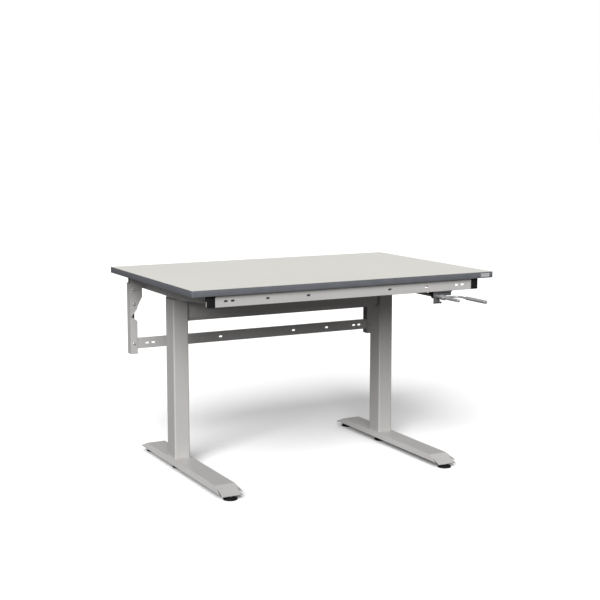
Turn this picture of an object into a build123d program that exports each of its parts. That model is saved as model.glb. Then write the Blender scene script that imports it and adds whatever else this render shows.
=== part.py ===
from build123d import *
import os
from math import cos, pi, sin

# Height adjustable desk with a hand crank. Millimetres, +X to the user's right, -Y towards the user,
# +Z up. The origin is on the floor under the middle of the whole desk.

# ---------------------------------------------------------------- driving dimensions
TOP_WIDTH = 1200.0
TOP_DEPTH = 800.0
TOP_HEIGHT = 737.0
TOP_THICKNESS = 22.0
SHEET = 0.8  # laminate on both faces of the board
BAND = 2.0  # edge band thickness
TOP_CORNER = 3.0
PLATE_X = 565.0
PLATE_WIDTH = 38.0
PLATE_HEIGHT = 14.0
PLATE_SHEET = 0.6
PLATE_CORNER = 1.5

FRONT = -315.0  # front edge of the top
REAR = FRONT + TOP_DEPTH
UNDERSIDE = TOP_HEIGHT - TOP_THICKNESS

LEG_X = 441.0  # column centre from the middle of the desk
LEG_Y = FRONT + 527.0
COLUMN_WIDTH = 60.0
COLUMN_DEPTH = 76.0
COLUMN_WALL = 2.5
COLUMN_CORNER = 5.0
COLUMN_TOP = 638.0
COLUMN_BOLT_X = 18.0
COLUMN_BOLT_Y = 26.0
INNER_WIDTH = 49.0
INNER_DEPTH = 65.0
INNER_CORNER = 3.0
INNER_BORE_CORNER = 1.0
INNER_BOTTOM = 90.0
INNER_TOP = 650.0
GLIDE_PLAY = 0.2
GLIDE_LENGTH = 40.0
BUSH_LENGTH = 60.0
COLLAR = 4.0

FOOT_TOP = 42.0
FOOT_FRONT = FRONT + 43.0
FOOT_REAR = FRONT + 820.0
FOOT_FRONT_BEND = FRONT + 107.0
FOOT_REAR_BEND = FRONT + 765.0
FOOT_TOP_WIDTH = 74.0
FOOT_SKIRT_WIDTH = 92.0
FOOT_SKIRT_Z = 24.0
FOOT_TIP_Z = 18.0
FOOT_SHEET = 3.0
PAD_RADIUS = 25.0
PAD_CHAMFER = 1.0
PAD_RIM_BOTTOM = 1.5
PAD_RIM_TOP = 5.0
PAD_SHOULDER = 6.5
PAD_CONE = 11.0
PAD_TOP = 9.0
NECK_RADIUS = 7.0
NECK_HEIGHT = 2.5
PAD_Y = {"front": FRONT + 62.0, "middle": FRONT + 525.0, "rear": FRONT + 793.0}
STEM_RADIUS = 5.0
NUT_RADIUS = 9.0
NUT_BOTTOM = 12.5
NUT_GAP = 0.3
STEM_TOPS = {"front": 19.5, "middle": 34.0, "rear": 19.5}

ARM_WIDTH = 60.0
ARM_SHEET = 3.0
ARM_BOTTOM = 647.0
ARM_WALLS = FRONT + 65.0  # the side walls start here, the flat top runs on to the rail
ARM_TAPER = FRONT + 400.0
ARM_REAR = FRONT + 820.0
ARM_RELIEF = FRONT + 225.0  # the inner wall stays shallow up to here
ARM_SLOT = (FRONT + 207.0, 672.0)
ARM_HOLES = ((FRONT + 615.0, 665.0), (FRONT + 807.0, 664.0))

RAIL_HEIGHT = 40.0
RAIL_DEPTH = 15.0
RAIL_WALL = 1.5
RAIL_HALF = 511.5
CAP_LENGTH = 30.0
CAP_CORNER = 2.0
PLUG_LENGTH = 10.0
PLUG_CORNER = 0.5
FRONT_RAIL_Y = FRONT + 13.0
REAR_RAIL_Y = FRONT + 756.0
SLOT_X = (163.0, 318.0, 448.0, 473.0)
SLOT_LENGTH = 14.0
SLOT_HEIGHT = 7.0
UPPER_RAIL_Z = UNDERSIDE - RAIL_HEIGHT
LOWER_RAIL_Z = 420.0

POST_WIDTH = 28.0
POST_DEPTH = 34.0
POST_SHEET = 2.0
POST_OUTER_X = 540.0
POST_BOTTOM = 400.0
POST_BOLT_X = 526.0
LOWER_RAIL_Y = REAR_RAIL_Y + POST_SHEET
LOWER_HALF = POST_OUTER_X - POST_SHEET
NOTCH_TIP = (POST_OUTER_X - 4.0, 545.0)
NOTCH_TOP = 577.0
NOTCH_BOTTOM = 528.0
HANGER_SHEET = 3.0
HANGER_WIDE_X = 492.0
HANGER_TOP = 708.0
HANGER_STEP = 621.0
HANGER_NARROW = 583.0
HANGER_BOLT_PLACES = ((502.0, 695.0), (POST_BOLT_X, 650.0), (POST_BOLT_X, 594.0))

BEAM_HALF = 409.5
BEAM_DEPTH = 56.0
BEAM_TOP = 700.0
BEAM_BOTTOM = 555.0
BEAM_CHAMFER_Z = 570.0
BEAM_CHAMFER_Y = 8.0
BEAM_SHEET = 2.0
EAR_SHEET = 3.0
EAR_BOTTOM = 652.0
EAR_INNER = 394.0
EAR_BOLT_X = 401.0
EAR_BOLT_Z = 685.0
HANGER_X = -40.0
HANGER_HALF = 10.0
HANGER_REACH = 20.0
HANGER_ROUND = 4.0

DRIVE_Z = 657.0  # height of the crank shaft and the cross shaft
CRANK_X = 368.0
SHAFT_RADIUS = 6.0
RUNNING = 0.05  # radial clearance of every running fit
BUSH_RADIUS = 9.0
BOX_WALL = 3.5
BOX_WIDTH = 43.0
HEAD_BOX_DEPTH = 56.0
HEAD_BOX_BOTTOM = 630.0
HEAD_BOX_TOP = 684.0
CRANK_BOX_DEPTH = 52.0
CRANK_BOX_BOTTOM = 634.0
CRANK_BOX_TOP = 680.0
LID = 3.0
LID_SCREW_RADIUS = 1.2
LID_SCREW_DEPTH = 8.0
LID_HEAD_RADIUS = 1.7
LID_HEAD = 1.5

HEAD_FLANGE = 4.0
HEAD_BAND_BOTTOM = 643.0
CHEEK = 2.5
CHEEK_NECK = 652.0
CHEEK_TOP = 708.0
CHEEK_HALF = 80.0
CHEEK_BOLT_Y = 70.0
CHEEK_BOLT_Z = 675.0

GEAR_NEAR = 6.8  # gear faces measured from the point where the shaft axes cross
GEAR_RIM = 12.0
GEAR_BACK = 16.0
GEAR_HUB = 8.5
GEAR_GAP = 0.35
GEAR_TEETH = 12

SCREW_RADIUS = 8.0
SCREW_BOTTOM = 130.0
SCREW_SHOULDER = 622.8
BEARING_RADIUS = 14.0
BEARING_BOTTOM = 623.0
BEARING_TOP = 635.0
NUT_TUBE_RADIUS = 15.0
NUT_TUBE_WALL = 3.0
NUT_TUBE_TOP = 560.0
LEAD_NUT_TOP = 566.0
LEAD_NUT_BOTTOM = 540.0
BASE_PLATE = 8.0

CRANK_THROW = 65.0
CRANK_ARM_Y = FRONT - 18.0
CRANK_HUB_RADIUS = 9.5
CRANK_HUB_LENGTH = 18.0
CRANK_ROD_START = 7.0
CRANK_ROD_RADIUS = 4.0
CRANK_BEND = 22.0
CRANK_ROD_END = FRONT - 186.0
CRANK_TIP = FRONT - 190.0
GRIP_RADIUS = 6.5
GRIP_START = FRONT - 72.0
GRIP_END = FRONT - 185.0
SPIGOT_START = FRONT - 30.0
SPIGOT_END = FRONT - 118.0
SPIGOT_FLATS = 10.0
SPIGOT_CHAMFER = 1.0
TIP_ROUND = 2.0

HOUSING_FRONT = FRONT + 23.0
HOUSING_MIDDLE = FRONT + 43.0
HOUSING_REAR = FRONT + 63.0
HOUSING_LEFT = CRANK_X - 11.0
HOUSING_RIGHT = CRANK_X + 40.0
HOUSING_BOTTOM = 660.0
HOUSING_BOSS = 11.5
HOUSING_BUSH = 8.0
HOUSING_ROUND = 6.0
BRACKET_SHEET = 3.0
BRACKET_Y = HOUSING_FRONT - BRACKET_SHEET
BRACKET_LEFT = CRANK_X - 14.0
BRACKET_RIGHT = CRANK_X + 12.0
BRACKET_BOTTOM = 630.0
TAB_RIGHT = CRANK_X + 62.0
TAB_BOTTOM = 657.0
BRACKET_HOLE = 7.0
STUD_Z = 637.0
STUD_TIP = FRONT - 5.0

BOLT_RADIUS = 4.0
BOLT_HEAD_RADIUS = 6.5
BOLT_HEAD = 5.0
SMALL_BOLT_RADIUS = 3.0
SMALL_HEAD_RADIUS = 5.0
SMALL_HEAD = 3.5
WOOD_SCREW_RADIUS = 2.5
WOOD_SCREW_TOP = 731.0
WOOD_HEAD = 2.5
WOOD_SCREW_PLACES = ((-15.0, 90.0), (15.0, 250.0), (-15.0, 420.0), (15.0, 640.0), (-15.0, 725.0))
NUT_REACH = 5.0  # how far a bolt stands out of the sheet behind it
SMALL_NUT_REACH = 1.5

SIDES = {"left": -1.0, "right": 1.0}
ON_TOP = (Align.CENTER, Align.CENTER, Align.MIN)
BELOW = (Align.CENTER, Align.CENTER, Align.MAX)

os.makedirs("parts", exist_ok=True)


def save(piece, name):
    """Labels a finished piece and writes it as one STEP file."""
    piece.part.label = name
    export_step(piece.part, f"parts/{name}.step")


def facing_front(y):
    """Plane at y with local x to the right and local y up; extruding goes towards the user."""
    return Plane.XZ.offset(-y)


def facing_right(x):
    """Plane at x with local x towards the rear and local y up; extruding goes to the right."""
    return Plane.YZ.offset(x)


def add_block(x_range, y_range, z_range, mode=Mode.ADD):
    """Adds or cuts a block between two x, two y and two z values in the active part."""
    size = [high - low for low, high in (x_range, y_range, z_range)]
    middle = [(high + low) / 2 for low, high in (x_range, y_range, z_range)]
    with Locations(tuple(middle)):
        Box(*size, mode=mode)


def add_round(start, direction, radius, length, mode=Mode.ADD):
    """Adds or cuts a cylinder that starts at a point and runs along a direction."""
    with Locations(Plane(origin=start, z_dir=direction)):
        Cylinder(radius, length, align=ON_TOP, mode=mode)


def add_bolts(seats, shank_radius, grip, head_radius, head_height):
    """Adds one bolt per seat. A seat plane lies under the head and faces out of the joint."""
    for seat in seats:
        with Locations(seat):
            Cylinder(head_radius, head_height, align=ON_TOP)
            Cylinder(shank_radius, grip, align=BELOW)


def cut_holes(seats, radius, depth):
    """Cuts a plain hole below each seat of the active part."""
    for seat in seats:
        with Locations(seat):
            Cylinder(radius, depth, align=BELOW, mode=Mode.SUBTRACT)


def seat_plane(x, y, z, direction):
    """Seat plane of a bolt head at a point, facing out of the joint."""
    return Plane(origin=(x, y, z), z_dir=direction)


# ---------------------------------------------------------------- where the fasteners go
COLUMN_BOLTS = [
    seat_plane(side * LEG_X + dx, LEG_Y + dy, FOOT_TOP - FOOT_SHEET, (0, 0, -1))
    for side in SIDES.values()
    for dx in (-COLUMN_BOLT_X, COLUMN_BOLT_X)
    for dy in (-COLUMN_BOLT_Y, COLUMN_BOLT_Y)
]
CHEEK_BOLTS = [
    seat_plane(side * LEG_X + out * ARM_WIDTH / 2, LEG_Y + dy, CHEEK_BOLT_Z, (out, 0, 0))
    for side in SIDES.values()
    for out in (-1.0, 1.0)
    for dy in (-CHEEK_BOLT_Y, CHEEK_BOLT_Y)
]
HANGER_FACE = REAR_RAIL_Y - HANGER_SHEET
HANGER_BOLTS = [
    seat_plane(side * x, HANGER_FACE, z, (0, -1, 0))
    for side in SIDES.values()
    for x, z in HANGER_BOLT_PLACES
]
LOWER_RAIL_BOLTS = [
    seat_plane(side * POST_BOLT_X, REAR_RAIL_Y, LOWER_RAIL_Z + RAIL_HEIGHT / 2, (0, -1, 0))
    for side in SIDES.values()
]
BEAM_BOLTS = [
    seat_plane(side * EAR_BOLT_X, LEG_Y + out * BEAM_DEPTH / 2, EAR_BOLT_Z, (0, out, 0))
    for side in SIDES.values()
    for out in (-1.0, 1.0)
]
TOP_SCREWS = [
    (side * LEG_X + dx, FRONT + y)
    for side in SIDES.values()
    for dx, y in WOOD_SCREW_PLACES
]
LID_SCREW_X = BOX_WIDTH / 2 - BOX_WALL / 2


def lid_corners(x, depth):
    """Lid screw centres of one gearbox."""
    reach = depth / 2 - BOX_WALL / 2
    return [(x + i * LID_SCREW_X, LEG_Y + j * reach) for i in (-1, 1) for j in (-1, 1)]


# ---------------------------------------------------------------- table top
with BuildPart() as tabletop_core:
    with BuildSketch(Plane.XY.offset(UNDERSIDE + SHEET)):
        with Locations((0, (FRONT + REAR) / 2)):
            RectangleRounded(TOP_WIDTH - 2 * BAND, TOP_DEPTH - 2 * BAND, TOP_CORNER - BAND)
    extrude(amount=TOP_THICKNESS - 2 * SHEET)
    for x, y in TOP_SCREWS:
        add_round((x, y, UNDERSIDE), (0, 0, 1), WOOD_SCREW_RADIUS, WOOD_SCREW_TOP - UNDERSIDE, Mode.SUBTRACT)
save(tabletop_core, "tabletop_core")

with BuildPart() as top_sheet:
    with BuildSketch(Plane.XY.offset(TOP_HEIGHT - SHEET)):
        with Locations((0, (FRONT + REAR) / 2)):
            RectangleRounded(TOP_WIDTH - 2 * BAND, TOP_DEPTH - 2 * BAND, TOP_CORNER - BAND)
    extrude(amount=SHEET)
save(top_sheet, "top_sheet")

with BuildPart() as backing_sheet:
    with BuildSketch(Plane.XY.offset(UNDERSIDE)):
        with Locations((0, (FRONT + REAR) / 2)):
            RectangleRounded(TOP_WIDTH - 2 * BAND, TOP_DEPTH - 2 * BAND, TOP_CORNER - BAND)
        with Locations(*TOP_SCREWS):
            Circle(WOOD_SCREW_RADIUS, mode=Mode.SUBTRACT)
    extrude(amount=SHEET)
save(backing_sheet, "backing_sheet")

with BuildPart() as edge_band:
    with BuildSketch(Plane.XY.offset(UNDERSIDE)):
        with Locations((0, (FRONT + REAR) / 2)):
            RectangleRounded(TOP_WIDTH, TOP_DEPTH, TOP_CORNER)
            RectangleRounded(
                TOP_WIDTH - 2 * BAND, TOP_DEPTH - 2 * BAND, TOP_CORNER - BAND, mode=Mode.SUBTRACT
            )
    extrude(amount=TOP_THICKNESS)
save(edge_band, "edge_band")

with BuildPart() as blank_plate:
    with BuildSketch(facing_front(FRONT)):
        with Locations((PLATE_X, UNDERSIDE + TOP_THICKNESS / 2)):
            RectangleRounded(PLATE_WIDTH, PLATE_HEIGHT, PLATE_CORNER)
    extrude(amount=PLATE_SHEET)
save(blank_plate, "blank_plate")

with BuildPart() as tabletop_screws:
    for x, y in TOP_SCREWS:
        web = UNDERSIDE - ARM_SHEET
        add_round((x, y, web), (0, 0, 1), WOOD_SCREW_RADIUS, WOOD_SCREW_TOP - web)
        add_round((x, y, web), (0, 0, -1), 2 * WOOD_SCREW_RADIUS, WOOD_HEAD)
save(tabletop_screws, "tabletop_screws")


# ---------------------------------------------------------------- feet
def build_foot(x):
    """Folded sheet beam: flat top, flared side walls and a sloped tongue at both ends."""
    half_top = FOOT_TOP_WIDTH / 2
    half_skirt = FOOT_SKIRT_WIDTH / 2
    with BuildPart() as foot:
        with BuildSketch(facing_front(FOOT_REAR)):
            with BuildLine():
                Polyline(
                    (x - half_skirt, FOOT_SKIRT_Z),
                    (x - half_top, FOOT_TOP),
                    (x + half_top, FOOT_TOP),
                    (x + half_skirt, FOOT_SKIRT_Z),
                )
                offset(amount=FOOT_SHEET, side=Side.RIGHT)
            make_face()
        extrude(amount=FOOT_REAR - FOOT_FRONT)
        with BuildSketch(facing_right(x - FOOT_SKIRT_WIDTH)):
            with BuildLine():
                Polyline(
                    (FOOT_FRONT, FOOT_TIP_Z),
                    (FOOT_FRONT_BEND, FOOT_TOP),
                    (FOOT_REAR_BEND, FOOT_TOP),
                    (FOOT_REAR, FOOT_TIP_Z),
                    close=True,
                )
            make_face()
        extrude(amount=2 * FOOT_SKIRT_WIDTH, mode=Mode.INTERSECT)
        with BuildSketch(facing_right(x - half_top)):
            with BuildLine():
                Polyline(
                    (FOOT_FRONT, FOOT_TIP_Z),
                    (FOOT_FRONT_BEND, FOOT_TOP),
                    (FOOT_REAR_BEND, FOOT_TOP),
                    (FOOT_REAR, FOOT_TIP_Z),
                )
                offset(amount=FOOT_SHEET, side=Side.RIGHT)
            make_face()
        extrude(amount=FOOT_TOP_WIDTH)
        for bolt in COLUMN_BOLTS:
            add_round(bolt.origin, (0, 0, 1), BOLT_RADIUS, FOOT_SHEET, Mode.SUBTRACT)
    return foot


def build_weld_nuts():
    """Threaded bosses under the foot sheet, trimmed to its underside."""
    drop = FOOT_SHEET + NUT_GAP
    with BuildPart() as nuts:
        with BuildSketch(Plane.XY.offset(NUT_BOTTOM)):
            for side in SIDES.values():
                with Locations(*[(side * LEG_X, y) for y in PAD_Y.values()]):
                    Circle(NUT_RADIUS)
                    Circle(STEM_RADIUS, mode=Mode.SUBTRACT)
        extrude(amount=FOOT_TOP)
        with BuildSketch(facing_right(-TOP_WIDTH / 2)):
            with BuildLine():
                Polyline(
                    (FOOT_FRONT, 0),
                    (FOOT_FRONT, FOOT_TIP_Z - drop),
                    (FOOT_FRONT_BEND, FOOT_TOP - drop),
                    (FOOT_FRONT_BEND, FOOT_TOP - FOOT_SHEET),
                    (FOOT_REAR_BEND, FOOT_TOP - FOOT_SHEET),
                    (FOOT_REAR_BEND, FOOT_TOP - drop),
                    (FOOT_REAR, FOOT_TIP_Z - drop),
                    (FOOT_REAR, 0),
                    close=True,
                )
            make_face()
        extrude(amount=TOP_WIDTH, mode=Mode.INTERSECT)
    return nuts


def build_levelling_foot(x, y, stem_top):
    """Round pad with a coned top and a hexagon neck, moulded on a screw stem."""
    with BuildPart() as levelling_foot:
        with BuildSketch(facing_right(x)):
            with BuildLine():
                Polyline(
                    (y, 0),
                    (y + PAD_RADIUS - PAD_CHAMFER, 0),
                    (y + PAD_RADIUS, PAD_RIM_BOTTOM),
                    (y + PAD_RADIUS, PAD_RIM_TOP),
                    (y + PAD_RADIUS - PAD_RIM_BOTTOM, PAD_SHOULDER),
                    (y + PAD_CONE, PAD_TOP),
                    (y, PAD_TOP),
                    close=True,
                )
            make_face()
        revolve(axis=Axis((x, y, 0), (0, 0, 1)))
        with BuildSketch(Plane.XY.offset(PAD_TOP)):
            with Locations((x, y)):
                RegularPolygon(radius=NECK_RADIUS, side_count=6)
        extrude(amount=NECK_HEIGHT)
        add_round((x, y, PAD_TOP), (0, 0, 1), STEM_RADIUS, stem_top - PAD_TOP)
    return levelling_foot


save(build_weld_nuts(), "weld_nuts")
for side_name, side in SIDES.items():
    save(build_foot(side * LEG_X), f"foot_{side_name}")
    for place, pad_y in PAD_Y.items():
        save(
            build_levelling_foot(side * LEG_X, pad_y, STEM_TOPS[place]),
            f"levelling_foot_{side_name}_{place}",
        )


# ---------------------------------------------------------------- columns
def build_tube(x, z_range, width, depth, corner, bore_width, bore_depth, bore_corner):
    """Upright rectangular tube or sleeve with rounded corners."""
    with BuildPart() as tube:
        with BuildSketch(Plane.XY.offset(z_range[0])):
            with Locations((x, LEG_Y)):
                RectangleRounded(width, depth, corner)
                RectangleRounded(bore_width, bore_depth, bore_corner, mode=Mode.SUBTRACT)
        extrude(amount=z_range[1] - z_range[0])
    return tube


OUTER_BORE = (
    COLUMN_WIDTH - 2 * COLUMN_WALL,
    COLUMN_DEPTH - 2 * COLUMN_WALL,
    COLUMN_CORNER - COLUMN_WALL,
)
INNER_SECTION = (INNER_WIDTH, INNER_DEPTH, INNER_CORNER)
INNER_BORE = (INNER_WIDTH - 2 * COLUMN_WALL, INNER_DEPTH - 2 * COLUMN_WALL, INNER_BORE_CORNER)

def build_guide_bushes():
    """Plastic sleeves between the tubes, with a collar on top of each outer one."""
    play = 2 * GLIDE_PLAY
    opening = (INNER_WIDTH + play, INNER_DEPTH + play, INNER_CORNER + GLIDE_PLAY)
    collar_section = (COLUMN_WIDTH, COLUMN_DEPTH, COLUMN_CORNER)
    bushes = []
    for side in SIDES.values():
        x = side * LEG_X
        bushes.append(build_tube(x, (COLUMN_TOP - BUSH_LENGTH, COLUMN_TOP), *OUTER_BORE, *opening))
        bushes.append(build_tube(x, (COLUMN_TOP, COLUMN_TOP + COLLAR), *collar_section, *opening))
    with BuildPart() as guide_bushes:
        for bush in bushes:
            add(bush.part)
    return guide_bushes


def build_head_bracket(side):
    """Band round the top of the inner column with two cheeks that stand inside the side arm."""
    x = side * LEG_X
    inside_arm = ARM_WIDTH / 2 - ARM_SHEET
    band_depth = INNER_DEPTH + 2 * CHEEK
    with BuildPart() as head:
        with BuildSketch(Plane.XY.offset(HEAD_BAND_BOTTOM)):
            with Locations((x, LEG_Y)):
                Rectangle(2 * inside_arm, band_depth)
                RectangleRounded(*INNER_SECTION, mode=Mode.SUBTRACT)
        extrude(amount=ARM_BOTTOM - HEAD_BAND_BOTTOM)
        for out in (-1.0, 1.0):
            near, far = sorted((x + out * (inside_arm - CHEEK), x + out * inside_arm))
            lower = (ARM_BOTTOM, CHEEK_NECK)
            add_block((near, far), (LEG_Y - band_depth / 2, LEG_Y + band_depth / 2), lower)
            upper = (CHEEK_NECK, CHEEK_TOP)
            add_block((near, far), (LEG_Y - CHEEK_HALF, LEG_Y + CHEEK_HALF), upper)
        cut_holes(CHEEK_BOLTS, BOLT_RADIUS, ARM_SHEET + CHEEK)
        add_round((x - ARM_WIDTH, LEG_Y, DRIVE_Z), (1, 0, 0), BUSH_RADIUS, 2 * ARM_WIDTH, Mode.SUBTRACT)
    return head


for side_name, side in SIDES.items():
    leg_x = side * LEG_X
    outer_column = build_tube(
        leg_x, (FOOT_TOP, COLUMN_TOP), COLUMN_WIDTH, COLUMN_DEPTH, COLUMN_CORNER, *OUTER_BORE
    )
    save(outer_column, f"outer_column_{side_name}")
    inner_column = build_tube(leg_x, (INNER_BOTTOM, INNER_TOP), *INNER_SECTION, *INNER_BORE)
    save(inner_column, f"inner_column_{side_name}")
    save(build_head_bracket(side), f"head_bracket_{side_name}")
save(build_guide_bushes(), "guide_bushes")

with BuildPart() as lower_glides:
    with BuildSketch(Plane.XY.offset(INNER_BOTTOM)):
        with Locations(*[(side * LEG_X, LEG_Y) for side in SIDES.values()]):
            RectangleRounded(
                OUTER_BORE[0] - 2 * GLIDE_PLAY, OUTER_BORE[1] - 2 * GLIDE_PLAY, OUTER_BORE[2] + GLIDE_PLAY
            )
            RectangleRounded(*INNER_SECTION, mode=Mode.SUBTRACT)
    extrude(amount=GLIDE_LENGTH)
save(lower_glides, "lower_glides")

with BuildPart() as base_plates:
    with BuildSketch(Plane.XY.offset(FOOT_TOP)):
        with Locations(*[(side * LEG_X, LEG_Y) for side in SIDES.values()]):
            RectangleRounded(*OUTER_BORE)
    extrude(amount=BASE_PLATE)
    for bolt in COLUMN_BOLTS:
        add_round(bolt.origin, (0, 0, 1), BOLT_RADIUS, FOOT_SHEET + BASE_PLATE, Mode.SUBTRACT)
save(base_plates, "column_base_plates")

with BuildPart() as column_bolts:
    add_bolts(COLUMN_BOLTS, BOLT_RADIUS, FOOT_SHEET + BASE_PLATE, BOLT_HEAD_RADIUS, BOLT_HEAD)
save(column_bolts, "column_bolts")


# ---------------------------------------------------------------- lead screws and their nuts
def build_gear(apex, axis):
    """Mitre gear whose axis leaves the crossing point along a direction. Teeth end at the pitch cone."""
    apex = Vector(*apex)
    hub_plane = Plane(origin=apex, z_dir=axis)
    profile_plane = Plane(
        origin=apex, x_dir=hub_plane.x_dir, z_dir=hub_plane.x_dir.cross(hub_plane.z_dir)
    )
    with BuildPart() as gear:
        with BuildSketch(profile_plane):
            with BuildLine():
                Polyline(
                    (SHAFT_RADIUS, GEAR_NEAR),
                    (GEAR_NEAR - GEAR_GAP, GEAR_NEAR),
                    (GEAR_RIM - GEAR_GAP, GEAR_RIM),
                    (GEAR_HUB, GEAR_BACK),
                    (SHAFT_RADIUS, GEAR_BACK),
                    close=True,
                )
            make_face()
        revolve(axis=Axis(apex, hub_plane.z_dir))
        for tooth in range(GEAR_TEETH):
            angle = 2 * pi * tooth / GEAR_TEETH
            radial = hub_plane.x_dir * cos(angle) + hub_plane.y_dir * sin(angle)
            along = radial + hub_plane.z_dir
            groove = Plane(
                origin=apex + (radial + hub_plane.z_dir) * (GEAR_NEAR + GEAR_RIM) / 2,
                x_dir=along,
                z_dir=radial - hub_plane.z_dir,
            )
            with Locations(groove):
                Box(GEAR_RIM, GEAR_RIM / 6, GEAR_RIM / 7, mode=Mode.SUBTRACT)
    return gear


for side_name, side in SIDES.items():
    leg_x = side * LEG_X
    with BuildPart() as lead_screw:
        add_round((leg_x, LEG_Y, SCREW_BOTTOM), (0, 0, 1), SCREW_RADIUS, SCREW_SHOULDER - SCREW_BOTTOM)
        journal = DRIVE_Z - GEAR_NEAR - SCREW_SHOULDER
        add_round((leg_x, LEG_Y, SCREW_SHOULDER), (0, 0, 1), SHAFT_RADIUS, journal)
    save(lead_screw, f"lead_screw_{side_name}")
    save(build_gear((leg_x, LEG_Y, DRIVE_Z), (0, 0, -1)), f"screw_gear_{side_name}")

with BuildPart() as nut_tubes:
    with BuildSketch(Plane.XY.offset(FOOT_TOP + BASE_PLATE)):
        with Locations(*[(side * LEG_X, LEG_Y) for side in SIDES.values()]):
            Circle(NUT_TUBE_RADIUS)
            Circle(NUT_TUBE_RADIUS - NUT_TUBE_WALL, mode=Mode.SUBTRACT)
    extrude(amount=NUT_TUBE_TOP - FOOT_TOP - BASE_PLATE)
save(nut_tubes, "nut_tubes")

with BuildPart() as lead_nuts:
    for side in SIDES.values():
        centre = (side * LEG_X, LEG_Y)
        add_round((*centre, NUT_TUBE_TOP), (0, 0, 1), NUT_TUBE_RADIUS, LEAD_NUT_TOP - NUT_TUBE_TOP)
        shank = NUT_TUBE_RADIUS - NUT_TUBE_WALL
        add_round((*centre, LEAD_NUT_BOTTOM), (0, 0, 1), shank, NUT_TUBE_TOP - LEAD_NUT_BOTTOM)
        bore = SCREW_RADIUS + RUNNING
        add_round((*centre, LEAD_NUT_BOTTOM), (0, 0, 1), bore, LEAD_NUT_TOP - LEAD_NUT_BOTTOM, Mode.SUBTRACT)
save(lead_nuts, "lead_nuts")

with BuildPart() as screw_bearings:
    with BuildSketch(Plane.XY.offset(BEARING_BOTTOM)):
        with Locations(*[(side * LEG_X, LEG_Y) for side in SIDES.values()]):
            Circle(BEARING_RADIUS)
            Circle(SHAFT_RADIUS + RUNNING, mode=Mode.SUBTRACT)
    extrude(amount=BEARING_TOP - BEARING_BOTTOM)
save(screw_bearings, "screw_bearings")


# ---------------------------------------------------------------- gearboxes and cross shaft
def build_gearbox(x, depth, z_range, openings, flange=0.0):
    """Open topped cast box with holes as (point, direction, radius) and a flange for the column."""
    with BuildPart() as gearbox:
        half = BOX_WIDTH / 2
        bottom, top = z_range
        if flange:
            with BuildSketch(Plane.XY.offset(bottom)):
                with Locations((x, LEG_Y)):
                    RectangleRounded(*INNER_BORE)
            extrude(amount=-flange)
        add_block((x - half, x + half), (LEG_Y - depth / 2, LEG_Y + depth / 2), z_range)
        inner = half - BOX_WALL
        inner_depth = depth / 2 - BOX_WALL
        cavity = (bottom + BOX_WALL, top)
        add_block((x - inner, x + inner), (LEG_Y - inner_depth, LEG_Y + inner_depth), cavity, Mode.SUBTRACT)
        for start, direction, radius in openings:
            add_round(start, direction, radius, BOX_WALL + flange, Mode.SUBTRACT)
        for corner in lid_corners(x, depth):
            add_round((*corner, top), (0, 0, -1), LID_SCREW_RADIUS, LID_SCREW_DEPTH, Mode.SUBTRACT)
    return gearbox


HALF_BOX = BOX_WIDTH / 2
SHAFT_WALLS = (
    -LEG_X + HALF_BOX - BOX_WALL,
    CRANK_X - HALF_BOX,
    CRANK_X + HALF_BOX - BOX_WALL,
    LEG_X - HALF_BOX,
)
CRANK_BOX_FRONT = LEG_Y - CRANK_BOX_DEPTH / 2
for side_name, side in SIDES.items():
    leg_x = side * LEG_X
    shaft_wall = SHAFT_WALLS[0] if side < 0 else SHAFT_WALLS[-1]
    head_openings = (
        ((leg_x, LEG_Y, HEAD_BOX_BOTTOM - HEAD_FLANGE), (0, 0, 1), BEARING_RADIUS),
        ((shaft_wall + side * BOX_WALL, LEG_Y, DRIVE_Z), (-side, 0, 0), BUSH_RADIUS),
    )
    heights = (HEAD_BOX_BOTTOM, HEAD_BOX_TOP)
    head_box = build_gearbox(leg_x, HEAD_BOX_DEPTH, heights, head_openings, HEAD_FLANGE)
    save(head_box, f"head_gearbox_{side_name}")
crank_openings = (
    ((SHAFT_WALLS[1], LEG_Y, DRIVE_Z), (1, 0, 0), BUSH_RADIUS),
    ((SHAFT_WALLS[2], LEG_Y, DRIVE_Z), (1, 0, 0), BUSH_RADIUS),
    ((CRANK_X, CRANK_BOX_FRONT, DRIVE_Z), (0, 1, 0), BUSH_RADIUS),
)
crank_box = build_gearbox(CRANK_X, CRANK_BOX_DEPTH, (CRANK_BOX_BOTTOM, CRANK_BOX_TOP), crank_openings)
save(crank_box, "crank_gearbox")

GEARBOXES = (
    (-LEG_X, HEAD_BOX_DEPTH, HEAD_BOX_TOP),
    (LEG_X, HEAD_BOX_DEPTH, HEAD_BOX_TOP),
    (CRANK_X, CRANK_BOX_DEPTH, CRANK_BOX_TOP),
)
with BuildPart() as gearbox_lids:
    for x, depth, top in GEARBOXES:
        half = depth / 2
        add_block((x - HALF_BOX, x + HALF_BOX), (LEG_Y - half, LEG_Y + half), (top, top + LID))
        for corner in lid_corners(x, depth):
            add_round((*corner, top), (0, 0, 1), LID_SCREW_RADIUS, LID, Mode.SUBTRACT)
save(gearbox_lids, "gearbox_lids")

with BuildPart() as lid_screws:
    for x, depth, top in GEARBOXES:
        for corner in lid_corners(x, depth):
            start = (*corner, top - LID_SCREW_DEPTH)
            add_round(start, (0, 0, 1), LID_SCREW_RADIUS, LID_SCREW_DEPTH + LID)
            add_round((*corner, top + LID), (0, 0, 1), LID_HEAD_RADIUS, LID_HEAD)
save(lid_screws, "lid_screws")

with BuildPart() as cross_shaft:
    shaft_left = -LEG_X + GEAR_NEAR
    shaft_right = LEG_X + GEAR_BACK
    add_round((shaft_left, LEG_Y, DRIVE_Z), (1, 0, 0), SHAFT_RADIUS, shaft_right - shaft_left)
save(cross_shaft, "cross_shaft")

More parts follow.
